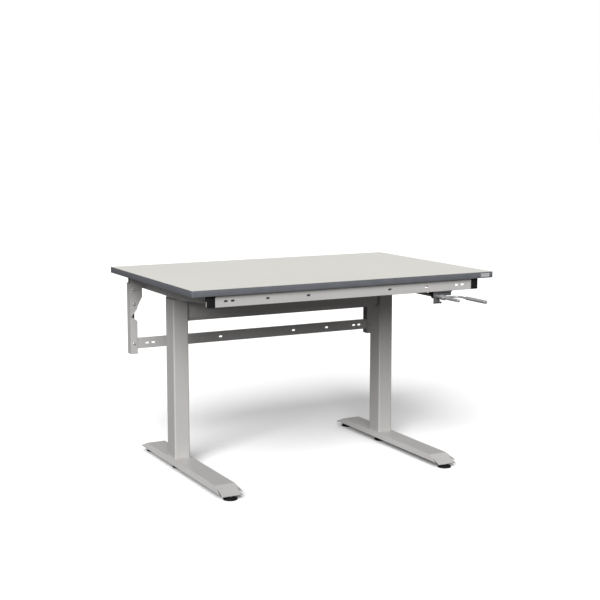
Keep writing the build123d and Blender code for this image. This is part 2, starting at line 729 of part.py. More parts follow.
with BuildPart() as shaft_gears:
    for x in (-LEG_X, CRANK_X, LEG_X):
        add(build_gear((x, LEG_Y, DRIVE_Z), (1, 0, 0)).part)
save(shaft_gears, "shaft_gears")

with BuildPart() as shaft_bushes:
    bushes = [((x, LEG_Y, DRIVE_Z), (1, 0, 0), BOX_WALL) for x in SHAFT_WALLS]
    bushes.append(((CRANK_X, CRANK_BOX_FRONT, DRIVE_Z), (0, 1, 0), BOX_WALL))
    bushes.append(((CRANK_X, HOUSING_FRONT, DRIVE_Z), (0, 1, 0), HOUSING_BUSH))
    bushes.append(((CRANK_X, HOUSING_MIDDLE, DRIVE_Z), (0, -1, 0), HOUSING_BUSH))
    for start, direction, length in bushes:
        add_round(start, direction, BUSH_RADIUS, length)
        add_round(start, direction, SHAFT_RADIUS + RUNNING, length, Mode.SUBTRACT)
save(shaft_bushes, "shaft_bushes")

with BuildPart() as shaft_hanger:
    web_gap = BEAM_DEPTH / 2 - BEAM_SHEET
    add_block(
        (HANGER_X - HANGER_HALF, HANGER_X + HANGER_HALF),
        (LEG_Y - web_gap, LEG_Y + web_gap),
        (DRIVE_Z - HANGER_REACH, DRIVE_Z + HANGER_REACH),
    )
    fillet(shaft_hanger.edges().filter_by(Axis.X), HANGER_ROUND)
    bore_start = (HANGER_X - HANGER_HALF, LEG_Y, DRIVE_Z)
    add_round(bore_start, (1, 0, 0), SHAFT_RADIUS + RUNNING, 2 * HANGER_HALF, Mode.SUBTRACT)
save(shaft_hanger, "shaft_hanger")


# ---------------------------------------------------------------- frame under the top
with BuildPart() as cross_beam:
    with BuildSketch(facing_right(-BEAM_HALF)):
        with BuildLine():
            half = BEAM_DEPTH / 2
            sloped = half - BEAM_CHAMFER_Y
            Polyline(
                (LEG_Y - half, BEAM_TOP),
                (LEG_Y - half, BEAM_CHAMFER_Z),
                (LEG_Y - sloped, BEAM_BOTTOM),
                (LEG_Y + sloped, BEAM_BOTTOM),
                (LEG_Y + half, BEAM_CHAMFER_Z),
                (LEG_Y + half, BEAM_TOP),
            )
            offset(amount=BEAM_SHEET, side=Side.LEFT)
        make_face()
    extrude(amount=2 * BEAM_HALF)
    cut_holes(BEAM_BOLTS, SMALL_BOLT_RADIUS, BEAM_SHEET)
    add_round((CRANK_X, LEG_Y - half, DRIVE_Z), (0, 1, 0), BUSH_RADIUS, BEAM_SHEET, Mode.SUBTRACT)
save(cross_beam, "cross_beam")

with BuildPart() as beam_brackets:
    for side in SIDES.values():
        wall = LEG_X - ARM_WIDTH / 2
        gap = BEAM_DEPTH / 2 - BEAM_SHEET
        near, far = sorted((side * (wall - EAR_SHEET), side * wall))
        heights = (EAR_BOTTOM, BEAM_TOP)
        add_block((near, far), (LEG_Y - gap, LEG_Y + gap), heights)
        near, far = sorted((side * EAR_INNER, side * (wall - EAR_SHEET)))
        for out in (-1.0, 1.0):
            face, back = sorted((LEG_Y + out * gap, LEG_Y + out * (gap - EAR_SHEET)))
            add_block((near, far), (face, back), heights)
        hole_start = (side * (wall - EAR_SHEET), LEG_Y, DRIVE_Z)
        add_round(hole_start, (side, 0, 0), BUSH_RADIUS, EAR_SHEET, Mode.SUBTRACT)
    cut_holes(BEAM_BOLTS, SMALL_BOLT_RADIUS, BEAM_SHEET + EAR_SHEET)
save(beam_brackets, "beam_brackets")


def build_arm_section(x):
    """Folded channel of a side arm: flat top, walls that get deeper towards the column."""
    half = ARM_WIDTH / 2
    inner = half - ARM_SHEET
    arm_front = FRONT_RAIL_Y + RAIL_DEPTH
    web_bottom = UNDERSIDE - ARM_SHEET
    with BuildPart() as section:
        with BuildSketch(facing_right(x - half)):
            with BuildLine():
                Polyline(
                    (arm_front, web_bottom),
                    (ARM_WALLS, web_bottom),
                    (ARM_WALLS, UPPER_RAIL_Z),
                    (ARM_TAPER, ARM_BOTTOM),
                    (ARM_REAR, ARM_BOTTOM),
                    (ARM_REAR, UNDERSIDE),
                    (arm_front, UNDERSIDE),
                    close=True,
                )
            make_face()
        extrude(amount=ARM_WIDTH)
        add_block((x - inner, x + inner), (arm_front, ARM_REAR), (0, web_bottom), Mode.SUBTRACT)
        notch = (REAR_RAIL_Y, REAR_RAIL_Y + RAIL_DEPTH)
        add_block((x - half, x + half), notch, (UPPER_RAIL_Z, UNDERSIDE), Mode.SUBTRACT)
    return section


def build_side_arm(side):
    """Channel open downwards, with its holes and a relief in the wall towards the middle."""
    x = side * LEG_X
    web_bottom = UNDERSIDE - ARM_SHEET
    inner_wall = x - side * ARM_WIDTH / 2
    outer_wall = x + side * ARM_WIDTH / 2
    with BuildPart() as arm:
        add(build_arm_section(x).part)
        near, far = sorted((inner_wall, inner_wall + side * ARM_SHEET))
        add_block((near, far), (ARM_WALLS, ARM_RELIEF), (ARM_BOTTOM, UPPER_RAIL_Z), Mode.SUBTRACT)
        cut_holes(CHEEK_BOLTS, BOLT_RADIUS, ARM_SHEET)
        for screw_x, screw_y in TOP_SCREWS:
            add_round((screw_x, screw_y, web_bottom), (0, 0, 1), WOOD_SCREW_RADIUS, ARM_SHEET, Mode.SUBTRACT)
        add_round((inner_wall, LEG_Y, DRIVE_Z), (side, 0, 0), BUSH_RADIUS, ARM_SHEET, Mode.SUBTRACT)
        with BuildSketch(facing_right(outer_wall)):
            with Locations(ARM_SLOT):
                SlotOverall(SLOT_LENGTH, SLOT_HEIGHT)
            with Locations(*ARM_HOLES):
                Circle(SLOT_HEIGHT / 2)
        extrude(amount=-side * ARM_SHEET, mode=Mode.SUBTRACT)
    return arm


for side_name, side in SIDES.items():
    save(build_side_arm(side), f"side_arm_{side_name}")


def build_rail(y, z, half_length, bolt_seats=()):
    """Channel along x, open to the rear, with a row of slots in its web."""
    with BuildPart() as rail:
        with BuildSketch(facing_right(-half_length)):
            with Locations((y + RAIL_DEPTH / 2, z + RAIL_HEIGHT / 2)):
                RectangleRounded(RAIL_DEPTH, RAIL_HEIGHT, RAIL_WALL)
            with Locations((y + RAIL_DEPTH / 2 + RAIL_WALL, z + RAIL_HEIGHT / 2)):
                Rectangle(RAIL_DEPTH, RAIL_HEIGHT - 2 * RAIL_WALL, mode=Mode.SUBTRACT)
        extrude(amount=2 * half_length)
        with BuildSketch(facing_front(y + RAIL_DEPTH)):
            middles = [(side * x, z + RAIL_HEIGHT / 2) for side in SIDES.values() for x in SLOT_X]
            with Locations(*middles):
                SlotOverall(SLOT_LENGTH, SLOT_HEIGHT)
        extrude(amount=RAIL_DEPTH, mode=Mode.SUBTRACT)
        cut_holes(bolt_seats, SMALL_BOLT_RADIUS, RAIL_DEPTH / 2)
    return rail


save(build_rail(FRONT_RAIL_Y, UPPER_RAIL_Z, RAIL_HALF), "front_rail")
save(build_rail(REAR_RAIL_Y, UPPER_RAIL_Z, RAIL_HALF, HANGER_BOLTS), "rear_rail")
save(build_rail(LOWER_RAIL_Y, LOWER_RAIL_Z, LOWER_HALF, LOWER_RAIL_BOLTS), "lower_rail")

with BuildPart() as rail_end_caps:
    plug_section = (RAIL_DEPTH - 2 * RAIL_WALL, RAIL_HEIGHT - 2 * RAIL_WALL)
    for side in SIDES.values():
        for rail_y in (FRONT_RAIL_Y, REAR_RAIL_Y):
            middle = (rail_y + RAIL_DEPTH / 2, UPPER_RAIL_Z + RAIL_HEIGHT / 2)
            with BuildSketch(facing_right(side * RAIL_HALF)):
                with Locations(middle):
                    RectangleRounded(RAIL_DEPTH, RAIL_HEIGHT, CAP_CORNER)
            extrude(amount=side * CAP_LENGTH)
            with BuildSketch(facing_right(side * RAIL_HALF)):
                with Locations(middle):
                    RectangleRounded(*plug_section, PLUG_CORNER)
            extrude(amount=-side * PLUG_LENGTH)
    cut_holes(HANGER_BOLTS, SMALL_BOLT_RADIUS, HANGER_SHEET + RAIL_DEPTH)
save(rail_end_caps, "rail_end_caps")


def build_rear_post(side):
    """Channel hanging from the rear rail, open towards the middle, closed at the foot."""
    outer, inner = side * POST_OUTER_X, side * (POST_OUTER_X - POST_WIDTH)
    left, right = sorted((outer, inner))
    front, rear = REAR_RAIL_Y, REAR_RAIL_Y + POST_DEPTH
    with BuildPart() as post:
        add_block((left, right), (front, rear), (POST_BOTTOM, UPPER_RAIL_Z))
        hollow_left, hollow_right = sorted((outer - side * POST_SHEET, inner))
        add_block(
            (hollow_left, hollow_right),
            (front + POST_SHEET, rear - POST_SHEET),
            (POST_BOTTOM + POST_SHEET, UPPER_RAIL_Z),
            Mode.SUBTRACT,
        )
        with BuildSketch(facing_front(front + POST_SHEET)):
            with BuildLine():
                tip = (side * NOTCH_TIP[0], NOTCH_TIP[1])
                Polyline((inner, NOTCH_TOP), tip, (inner, NOTCH_BOTTOM), close=True)
            make_face()
        extrude(amount=POST_SHEET, mode=Mode.SUBTRACT)
        cut_holes(HANGER_BOLTS, SMALL_BOLT_RADIUS, HANGER_SHEET + POST_SHEET)
        cut_holes(LOWER_RAIL_BOLTS, SMALL_BOLT_RADIUS, POST_SHEET)
    return post


for side_name, side in SIDES.items():
    save(build_rear_post(side), f"rear_post_{side_name}")

with BuildPart() as hanger_plates:
    for side in SIDES.values():
        outer = side * POST_OUTER_X
        inner = side * (POST_OUTER_X - POST_WIDTH)
        wide = side * HANGER_WIDE_X
        with BuildSketch(facing_front(REAR_RAIL_Y)):
            with BuildLine():
                Polyline(
                    (outer, HANGER_TOP),
                    (wide, HANGER_TOP),
                    (wide, HANGER_STEP),
                    (inner, HANGER_NARROW),
                    (inner, NOTCH_TOP),
                    (side * NOTCH_TIP[0], NOTCH_TIP[1]),
                    (outer, NOTCH_TIP[1]),
                    close=True,
                )
            make_face()
        extrude(amount=HANGER_SHEET)
    cut_holes(HANGER_BOLTS, SMALL_BOLT_RADIUS, HANGER_SHEET)
save(hanger_plates, "hanger_plates")

with BuildPart() as frame_bolts:
    add_bolts(CHEEK_BOLTS, BOLT_RADIUS, ARM_SHEET + CHEEK + NUT_REACH, BOLT_HEAD_RADIUS, BOLT_HEAD)
    small_head = (SMALL_HEAD_RADIUS, SMALL_HEAD)
    add_bolts(HANGER_BOLTS, SMALL_BOLT_RADIUS, HANGER_SHEET + SMALL_NUT_REACH, *small_head)
    add_bolts(LOWER_RAIL_BOLTS, SMALL_BOLT_RADIUS, POST_SHEET + SMALL_NUT_REACH, *small_head)
    add_bolts(BEAM_BOLTS, SMALL_BOLT_RADIUS, BEAM_SHEET + EAR_SHEET, *small_head)
save(frame_bolts, "frame_bolts")


# ---------------------------------------------------------------- crank
with BuildPart() as crank_housing:
    rail_rear = FRONT_RAIL_Y + RAIL_DEPTH
    width = (HOUSING_LEFT, HOUSING_RIGHT)
    add_block(width, (rail_rear, HOUSING_REAR), (HOUSING_BOTTOM, UNDERSIDE))
    add_block(width, (HOUSING_FRONT, rail_rear), (HOUSING_BOTTOM, UPPER_RAIL_Z))
    fillet(crank_housing.edges().filter_by(Axis.Z).group_by(Axis.Y)[-1], HOUSING_ROUND)
    boss_start = (CRANK_X, HOUSING_FRONT, DRIVE_Z)
    add_round(boss_start, (0, 1, 0), HOUSING_BOSS, HOUSING_MIDDLE - HOUSING_FRONT)
    add_round(boss_start, (0, 1, 0), BUSH_RADIUS, HOUSING_REAR - HOUSING_FRONT, Mode.SUBTRACT)
save(crank_housing, "crank_housing")

with BuildPart() as crank_bracket:
    plate_y = (BRACKET_Y, HOUSING_FRONT)
    add_block((BRACKET_LEFT, BRACKET_RIGHT), plate_y, (BRACKET_BOTTOM, UPPER_RAIL_Z))
    add_block((BRACKET_RIGHT, TAB_RIGHT), plate_y, (TAB_BOTTOM, UPPER_RAIL_Z))
    flange_z = (UPPER_RAIL_Z - BRACKET_SHEET, UPPER_RAIL_Z)
    add_block((BRACKET_LEFT, TAB_RIGHT), (FRONT_RAIL_Y, BRACKET_Y), flange_z)
    hole_start = (CRANK_X, BRACKET_Y, DRIVE_Z)
    add_round(hole_start, (0, 1, 0), BRACKET_HOLE, BRACKET_SHEET, Mode.SUBTRACT)
    add_round((CRANK_X, BRACKET_Y, STUD_Z), (0, -1, 0), BOLT_RADIUS, BRACKET_Y - STUD_TIP)
save(crank_bracket, "crank_bracket")

with BuildPart() as crank_shaft:
    shaft_rear = LEG_Y - GEAR_NEAR
    add_round((CRANK_X, shaft_rear, DRIVE_Z), (0, -1, 0), SHAFT_RADIUS, shaft_rear - SPIGOT_START)
    with BuildSketch(facing_front(SPIGOT_START)):
        with Locations((CRANK_X, DRIVE_Z)):
            RegularPolygon(radius=SPIGOT_FLATS / 2, side_count=6, major_radius=False)
    extrude(amount=SPIGOT_START - SPIGOT_END)
    chamfer(crank_shaft.faces().sort_by(Axis.Y)[0].edges(), SPIGOT_CHAMFER)
save(crank_shaft, "crank_shaft")
save(build_gear((CRANK_X, LEG_Y, DRIVE_Z), (0, -1, 0)), "crank_gear")

with BuildPart() as crank_arm:
    hub_rear = CRANK_ARM_Y + CRANK_HUB_LENGTH / 2
    add_round((CRANK_X, hub_rear, DRIVE_Z), (0, -1, 0), CRANK_HUB_RADIUS, CRANK_HUB_LENGTH)
    handle_x = CRANK_X + CRANK_THROW
    with BuildLine() as rod_path:
        FilletPolyline(
            (CRANK_X + CRANK_ROD_START, CRANK_ARM_Y, DRIVE_Z),
            (handle_x, CRANK_ARM_Y, DRIVE_Z),
            (handle_x, CRANK_ROD_END, DRIVE_Z),
            radius=CRANK_BEND,
        )
    with BuildSketch(Plane(origin=rod_path.line @ 0, z_dir=rod_path.line % 0)):
        Circle(CRANK_ROD_RADIUS)
    sweep()
    add_round((CRANK_X, hub_rear, DRIVE_Z), (0, -1, 0), SHAFT_RADIUS, CRANK_HUB_LENGTH, Mode.SUBTRACT)
save(crank_arm, "crank_arm")

with BuildPart() as crank_grip:
    with BuildSketch(facing_front(GRIP_START)):
        with Locations((handle_x, DRIVE_Z)):
            Circle(GRIP_RADIUS)
            Circle(CRANK_ROD_RADIUS + RUNNING, mode=Mode.SUBTRACT)
    extrude(amount=GRIP_START - GRIP_END)
save(crank_grip, "crank_grip")

with BuildPart() as crank_end_cap:
    add_round((handle_x, CRANK_ROD_END, DRIVE_Z), (0, -1, 0), GRIP_RADIUS, CRANK_ROD_END - CRANK_TIP)
    fillet(crank_end_cap.faces().sort_by(Axis.Y)[0].edges(), TIP_ROUND)
save(crank_end_cap, "crank_end_cap")
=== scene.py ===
"""Detail pieces, finishes, light and camera for a hand crank desk with two lifting columns."""

import logging
import math
from dataclasses import dataclass
from enum import Enum
from typing import Any, Iterable, Sequence

import bmesh
import bpy
from mathutils import Matrix, Vector


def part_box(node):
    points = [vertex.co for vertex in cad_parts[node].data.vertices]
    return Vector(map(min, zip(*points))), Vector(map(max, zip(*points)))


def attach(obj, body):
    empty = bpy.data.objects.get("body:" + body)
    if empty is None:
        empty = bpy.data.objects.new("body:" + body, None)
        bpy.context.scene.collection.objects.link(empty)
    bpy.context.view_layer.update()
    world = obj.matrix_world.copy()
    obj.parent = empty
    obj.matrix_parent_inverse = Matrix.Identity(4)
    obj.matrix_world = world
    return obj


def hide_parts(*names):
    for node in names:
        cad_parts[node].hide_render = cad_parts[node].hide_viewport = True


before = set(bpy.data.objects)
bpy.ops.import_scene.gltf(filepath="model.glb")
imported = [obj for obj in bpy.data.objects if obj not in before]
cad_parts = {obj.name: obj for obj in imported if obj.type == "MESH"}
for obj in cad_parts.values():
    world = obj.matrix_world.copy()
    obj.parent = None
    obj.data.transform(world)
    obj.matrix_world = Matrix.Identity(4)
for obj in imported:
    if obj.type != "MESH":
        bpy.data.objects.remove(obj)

Tone = tuple[float, float, float]
Point = tuple[float, float, float]
LOG = logging.getLogger("desk")
ROUND = 2.0 * math.pi
SHARP = math.radians(32.0)
WHITE = (1.0, 1.0, 1.0)
EVEN = (1.0, 1.0, 1.0)
MERGE = 1e-6
FINE_MERGE = 1e-7
LEVEL = 0.9
SIDES = {"left": -1.0, "right": 1.0}
FRONT = -0.315
LEG_X = 0.441
LEG_Y = 0.212


# ---------------------------------------------------------------- finishes
class NodeBoard:
    """Builds the nodes of one material."""

    def __init__(self, name: str, tone: Tone, roughness: float, metallic: float) -> None:
        """Starts a material with its even values on the shader.

        Args:
            name: the material's name.
            tone: linear base colour.
            roughness: the shader's roughness where nothing varies it.
            metallic: 1 for bare metal, 0 for plastic and laminate.
        """
        self.material = bpy.data.materials.new(name)
        self.material.use_nodes = True
        self.material.diffuse_color = (*tone, 1.0)
        self.nodes = self.material.node_tree.nodes
        self.links = self.material.node_tree.links
        self.shader = self.nodes["Principled BSDF"]
        self.set("Base Color", (*tone, 1.0))
        self.set("Roughness", roughness)
        self.set("Metallic", metallic)
        self.place = self.nodes.new("ShaderNodeTexCoord").outputs["Object"]

    def set(self, socket: str, value: Any) -> None:
        """Gives a socket of the shader a value or links it to another socket.

        Args:
            socket: the shader's input.
            value: a number, a colour or a node's output.
        """
        self._feed(self.shader.inputs[socket], value)

    def _feed(self, socket: bpy.types.NodeSocket, value: Any) -> None:
        """Links or sets one socket.

        Args:
            socket: the input that is fed.
            value: a number, a colour or a node's output.
        """
        if isinstance(value, bpy.types.NodeSocket):
            self.links.new(value, socket)
        else:
            socket.default_value = value

    def add(self, kind: str, inputs: dict[Any, Any], **settings: Any) -> bpy.types.Node:
        """Adds a node.

        Args:
            kind: the node's type.
            inputs: values or outputs for its sockets.
            settings: the node's own properties.

        Returns:
            The new node.
        """
        node = self.nodes.new(kind)
        for key, value in settings.items():
            setattr(node, key, value)
        for key, value in inputs.items():
            self._feed(node.inputs[key], value)
        return node

    def noise(self, scale: float, detail: float = 2.0, stretch: Point = EVEN) -> Any:
        """Adds a noise pattern.

        Args:
            scale: grains to the metre, roughly.
            detail: how many finer layers it has.
            stretch: how often it repeats along x, y and z, next to scale.

        Returns:
            The pattern's output, from 0 to 1.
        """
        place = self.add("ShaderNodeMapping", {"Vector": self.place, "Scale": stretch})
        inputs = {"Vector": place.outputs[0], "Scale": scale, "Detail": detail}
        return self.add("ShaderNodeTexNoise", inputs).outputs[0]

    def cells(self, scale: float) -> Any:
        """Adds a pattern of random grey cells.

        Args:
            scale: cells to the metre, roughly.

        Returns:
            The pattern's output, from 0 to 1.
        """
        cells = self.add("ShaderNodeTexVoronoi", {"Vector": self.place, "Scale": scale})
        grey = self.add("ShaderNodeRGBToBW", {"Color": cells.outputs["Color"]})
        return grey.outputs[0]

    def between(self, source: Any, low: float, high: float, start: float = 0.3, end: float = 0.7) -> Any:
        """Maps a pattern's middle part onto a range.

        Args:
            source: the pattern.
            low: value at start.
            high: value at end.
            start: pattern value that gives low.
            end: pattern value that gives high.

        Returns:
            The mapped output.
        """
        inputs = {"Value": source, "From Min": start, "From Max": end, "To Min": low, "To Max": high}
        return self.add("ShaderNodeMapRange", inputs).outputs[0]

    def ramp(self, source: Any, stops: Sequence[tuple[float, Tone]]) -> Any:
        """Turns a pattern into colours.

        Args:
            source: the pattern.
            stops: pattern values with their colours.

        Returns:
            The colour output.
        """
        ramp = self.add("ShaderNodeValToRGB", {"Fac": source})
        elements = ramp.color_ramp.elements
        while len(elements) < len(stops):
            elements.new(0.5)
        for element, (position, tone) in zip(elements, stops):
            element.position = position
            element.color = (*tone, 1.0)
        return ramp.outputs["Color"]

    def multiply(self, first: Any, second: Any) -> Any:
        """Multiplies two colours.

        Args:
            first: the colour that is changed.
            second: the colour that tints it.

        Returns:
            The result's output.
        """
        inputs = {0: 1.0, 6: first, 7: second}
        mix = self.add("ShaderNodeMix", inputs, data_type="RGBA", blend_type="MULTIPLY")
        return mix.outputs[2]

    def relief(self, heights: Iterable[tuple[Any, float, float]], edge: float = 0.0) -> None:
        """Gives the surface its bumps and rounds its sharp edges in shading.

        Args:
            heights: pairs of pattern, depth in metres and strength, coarse to fine.
            edge: radius of the rounded edges.
        """
        normal = None
        if edge > 0.0:
            normal = self.add("ShaderNodeBevel", {"Radius": edge}, samples=4).outputs[0]
        for height, depth, strength in heights:
            inputs = {"Height": height, "Distance": depth, "Strength": strength}
            if normal is not None:
                inputs["Normal"] = normal
            normal = self.add("ShaderNodeBump", inputs).outputs[0]
        self.set("Normal", normal)


def shade(tone: Tone, amount: float) -> Tone:
    """Returns a tone made lighter or darker by a factor."""
    return tuple(min(1.0, channel * amount) for channel in tone)


@dataclass(frozen=True)
class Finish:
    """A surface finish: its colour, how smooth it is and what makes up its pattern."""

    name: str
    tone: Tone
    roughness: float = 0.45
    metallic: float = 0.0
    edge: float = 0.0006
    gloss: float = 0.5

    @property
    def title(self) -> str:
        """The material's name, apart from the plain slot colours the frame comes with."""
        return f"{self.name}_finish"

    def board(self) -> NodeBoard:
        """Starts the material.

        Returns:
            The board with the finish's even values set.
        """
        board = NodeBoard(self.title, self.tone, self.roughness, self.metallic)
        board.set("Specular IOR Level", self.gloss)
        return board

    def material(self) -> bpy.types.Material:
        """Builds and returns the material."""
        raise NotImplementedError


@dataclass(frozen=True)
class SatinPaint(Finish):
    """Silver grey powder coat with fine metal flakes and a slight orange peel."""

    flake: float = 2600.0
    flake_depth: float = 0.00002
    peel: float = 420.0
    peel_depth: float = 0.00012
    coat: float = 0.08
    coat_roughness: float = 0.28

    def material(self) -> bpy.types.Material:
        """Builds the paint.

        Returns:
            The finished material.
        """
        board = self.board()
        flakes = board.cells(self.flake)
        sparkle = board.ramp(flakes, [(0.1, shade(self.tone, 0.86)), (0.9, shade(self.tone, 1.12))])
        cloud = board.noise(5.0, 3.0)
        dust = board.ramp(cloud, [(0.3, (0.95, 0.95, 0.955)), (0.7, WHITE)])
        board.set("Base Color", board.multiply(sparkle, dust))
        handled = board.noise(38.0, 4.0)
        board.set("Roughness", board.between(handled, self.roughness - 0.05, self.roughness + 0.06))
        board.set("Coat Weight", self.coat)
        board.set("Coat Roughness", self.coat_roughness)
        peel = board.noise(self.peel, 2.0)
        board.relief([(peel, self.peel_depth, 0.35), (flakes, self.flake_depth, 0.3)], self.edge)
        return board.material


@dataclass(frozen=True)
class Laminate(Finish):
    """Hard worktop laminate with a pearl texture and a faint two tone speckle."""

    speck: float = 900.0
    speck_depth: float = 0.00003
    pearl: float = 650.0
    pearl_depth: float = 0.00008

    def material(self) -> bpy.types.Material:
        """Builds the laminate.

        Returns:
            The finished material.
        """
        board = self.board()
        specks = board.noise(self.speck, 3.0)
        stops = [(0.3, shade(self.tone, 0.93)), (0.5, self.tone), (0.72, shade(self.tone, 1.05))]
        grain = board.ramp(specks, stops)
        wide = board.ramp(board.noise(1.6, 4.0), [(0.3, (0.97, 0.97, 0.965)), (0.7, WHITE)])
        board.set("Base Color", board.multiply(grain, wide))
        wiped = board.noise(9.0, 5.0, (1.0, 3.5, 1.0))
        board.set("Roughness", board.between(wiped, self.roughness - 0.06, self.roughness + 0.08))
        pearl = board.noise(self.pearl, 2.0)
        board.relief([(pearl, self.pearl_depth, 0.5), (specks, self.speck_depth, 0.35)], self.edge)
        return board.material


@dataclass(frozen=True)
class Plastic(Finish):
    """Moulded or extruded plastic: a grained skin, with long lines where it was drawn."""

    grain: float = 1400.0
    lines: Point = EVEN
    depth: float = 0.00006
    scuff: float = 45.0

    def material(self) -> bpy.types.Material:
        """Builds the plastic.

        Returns:
            The finished material.
        """
        board = self.board()
        skin = board.noise(self.grain, 2.0, self.lines)
        scuffs = board.noise(self.scuff, 6.0)
        body = board.ramp(skin, [(0.25, shade(self.tone, 0.85)), (0.75, shade(self.tone, 1.15))])
        worn = board.ramp(scuffs, [(0.35, (0.90, 0.90, 0.91)), (0.75, WHITE)])
        board.set("Base Color", board.multiply(body, worn))
        board.set("Roughness", board.between(scuffs, self.roughness - 0.08, self.roughness + 0.1))
        board.relief([(skin, self.depth, 0.5)], self.edge)
        return board.material


@dataclass(frozen=True)
class Plated(Finish):
    """Zinc plated steel with a fine spangle and light handling marks."""

    spangle: float = 520.0
    spangle_depth: float = 0.00002
    mark_depth: float = 0.00006
    tint: Tone = (0.96, 1.0, 1.04)

    def material(self) -> bpy.types.Material:
        """Builds the plating.

        Returns:
            The finished material.
        """
        board = self.board()
        crystals = board.cells(self.spangle)
        cool = tuple(channel * tint for channel, tint in zip(self.tone, self.tint))
        plate = board.ramp(crystals, [(0.15, shade(cool, 0.88)), (0.85, shade(self.tone, 1.08))])
        marks = board.noise(70.0, 6.0, (1.0, 1.0, 0.3))
        stain = board.ramp(marks, [(0.35, (0.88, 0.875, 0.86)), (0.65, WHITE)])
        board.set("Base Color", board.multiply(plate, stain))
        board.set("Roughness", board.between(marks, self.roughness - 0.08, self.roughness + 0.12))
        board.relief([(marks, self.mark_depth, 0.3), (crystals, self.spangle_depth, 0.25)], self.edge)
        return board.material


@dataclass(frozen=True)
class Turned(Finish):
    """Metal from a lathe, with fine tool rings across its axis."""

    axis: str = "Z"
    rings: float = 500.0
    ring_depth: float = 0.00005

    def material(self) -> bpy.types.Material:
        """Builds the turned metal.

        Returns:
            The finished material.
        """
        board = self.board()
        inputs = {"Vector": board.place, "Scale": self.rings, "Distortion": 1.5, "Detail": 3.0}
        rings = board.add("ShaderNodeTexWave", inputs, bands_direction=self.axis).outputs["Fac"]
        cut = board.ramp(rings, [(0.2, shade(self.tone, 0.88)), (0.8, shade(self.tone, 1.08))])
        oil = board.noise(55.0, 5.0)
        film = board.ramp(oil, [(0.35, (0.84, 0.82, 0.79)), (0.65, WHITE)])
        board.set("Base Color", board.multiply(cut, film))
        board.set("Roughness", board.between(oil, self.roughness - 0.08, self.roughness + 0.12))
        board.relief([(rings, self.ring_depth, 0.4)], self.edge)
        return board.material


@dataclass(frozen=True)
class Cast(Finish):
    """Die cast or sintered metal with a grainy skin and darker hollows."""

    grain: float = 800.0
    grain_depth: float = 0.00008
    lump: float = 120.0
    lump_depth: float = 0.0002

    def material(self) -> bpy.types.Material:
        """Builds the cast metal.

        Returns:
            The finished material.
        """
        board = self.board()
        sand = board.noise(self.grain, 4.0)
        lumps = board.noise(self.lump, 3.0)
        skin = board.ramp(sand, [(0.3, shade(self.tone, 0.75)), (0.7, shade(self.tone, 1.1))])
        flow = board.ramp(lumps, [(0.3, (0.88, 0.88, 0.9)), (0.7, WHITE)])
        board.set("Base Color", board.multiply(skin, flow))
        board.set("Roughness", board.between(lumps, self.roughness - 0.05, self.roughness + 0.12))
        board.relief([(lumps, self.lump_depth, 0.3), (sand, self.grain_depth, 0.5)], self.edge)
        return board.material


@dataclass(frozen=True)
class ChipBoard(Finish):
    """Pressed wood chips in a few browns."""

    chip: float = 260.0
    chip_depth: float = 0.0003
    fibre: float = 900.0
    fibre_depth: float = 0.0001

    def material(self) -> bpy.types.Material:
        """Builds the board.

        Returns:
            The finished material.
        """
        board = self.board()
        chips = board.cells(self.chip)
        stops = [(0.1, shade(self.tone, 0.6)), (0.45, self.tone), (0.85, shade(self.tone, 1.3))]
        fibre = board.noise(self.fibre, 4.0, (1.0, 1.0, 3.0))
        dark = board.ramp(fibre, [(0.3, (0.8, 0.78, 0.75)), (0.7, WHITE)])
        board.set("Base Color", board.multiply(board.ramp(chips, stops), dark))
        board.set("Roughness", board.between(fibre, 0.75, 0.95))
        board.relief([(chips, self.chip_depth, 0.4), (fibre, self.fibre_depth, 0.5)], self.edge)
        return board.material


class Slot(Enum):
    """The part's material slots, each with its finish."""

    laminate = Laminate("laminate", (0.580, 0.572, 0.541), 0.66, gloss=0.08)
    board = ChipBoard("board", (0.50, 0.37, 0.23), 0.85)
    backing = Laminate("backing", (0.56, 0.55, 0.52), 0.55)
    edge_band = Plastic(
        "edge_band",
        (0.098, 0.103, 0.114),
        edge=0.0004,
        gloss=0.35,
        grain=900.0,
        lines=(0.02, 0.02, 1.0),
    )
    label_plate = Plated("label_plate", (0.42, 0.42, 0.42), 0.42, 0.2, edge=0.0003)
    frame_paint = SatinPaint("frame_paint", (0.425, 0.414, 0.405), 0.38, 0.15, edge=0.0012)
    dark_steel = SatinPaint("dark_steel", (0.105, 0.105, 0.108), 0.42, 0.3, edge=0.0008)
    zinc_steel = Plated("zinc_steel", (0.58, 0.58, 0.585), 0.34, 0.9, edge=0.0005)
    bare_steel = Turned("bare_steel", (0.50, 0.49, 0.48), 0.3, 1.0, edge=0.0004)
    bearing_steel = Turned("bearing_steel", (0.58, 0.58, 0.59), 0.2, 1.0, edge=0.0004, rings=900.0)
    gear_steel = Cast("gear_steel", (0.36, 0.36, 0.37), 0.42, 1.0)
    cast_metal = Cast("cast_metal", (0.52, 0.52, 0.53), 0.5, 0.9)
    brass_nut = Turned("brass_nut", (0.72, 0.52, 0.22), 0.3, 1.0)
    bronze = Cast("bronze", (0.50, 0.33, 0.16), 0.45, 1.0)
    black_plastic = Plastic("black_plastic", (0.009, 0.009, 0.0095), 0.5, edge=0.0008, gloss=0.15)
    dark_zinc = Plated("dark_zinc", (0.33, 0.33, 0.335), 0.40, 0.45, edge=0.0005)
    grey_plastic = Plastic("grey_plastic", (0.22, 0.22, 0.22), 0.5, edge=0.0005)

    def made(self) -> bpy.types.Material:
        """Returns the slot's material, built the first time it is asked for."""
        found = bpy.data.materials.get(self.value.title)
        return found or self.value.material()


def dress(slot: Slot, *nodes: str) -> None:
    """Gives CAD nodes a finish.

    Args:
        slot: the material slot.
        nodes: the nodes that wear it.
    """
    for node in nodes:
        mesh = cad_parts[node].data
        mesh.materials.clear()
        mesh.materials.append(slot.made())


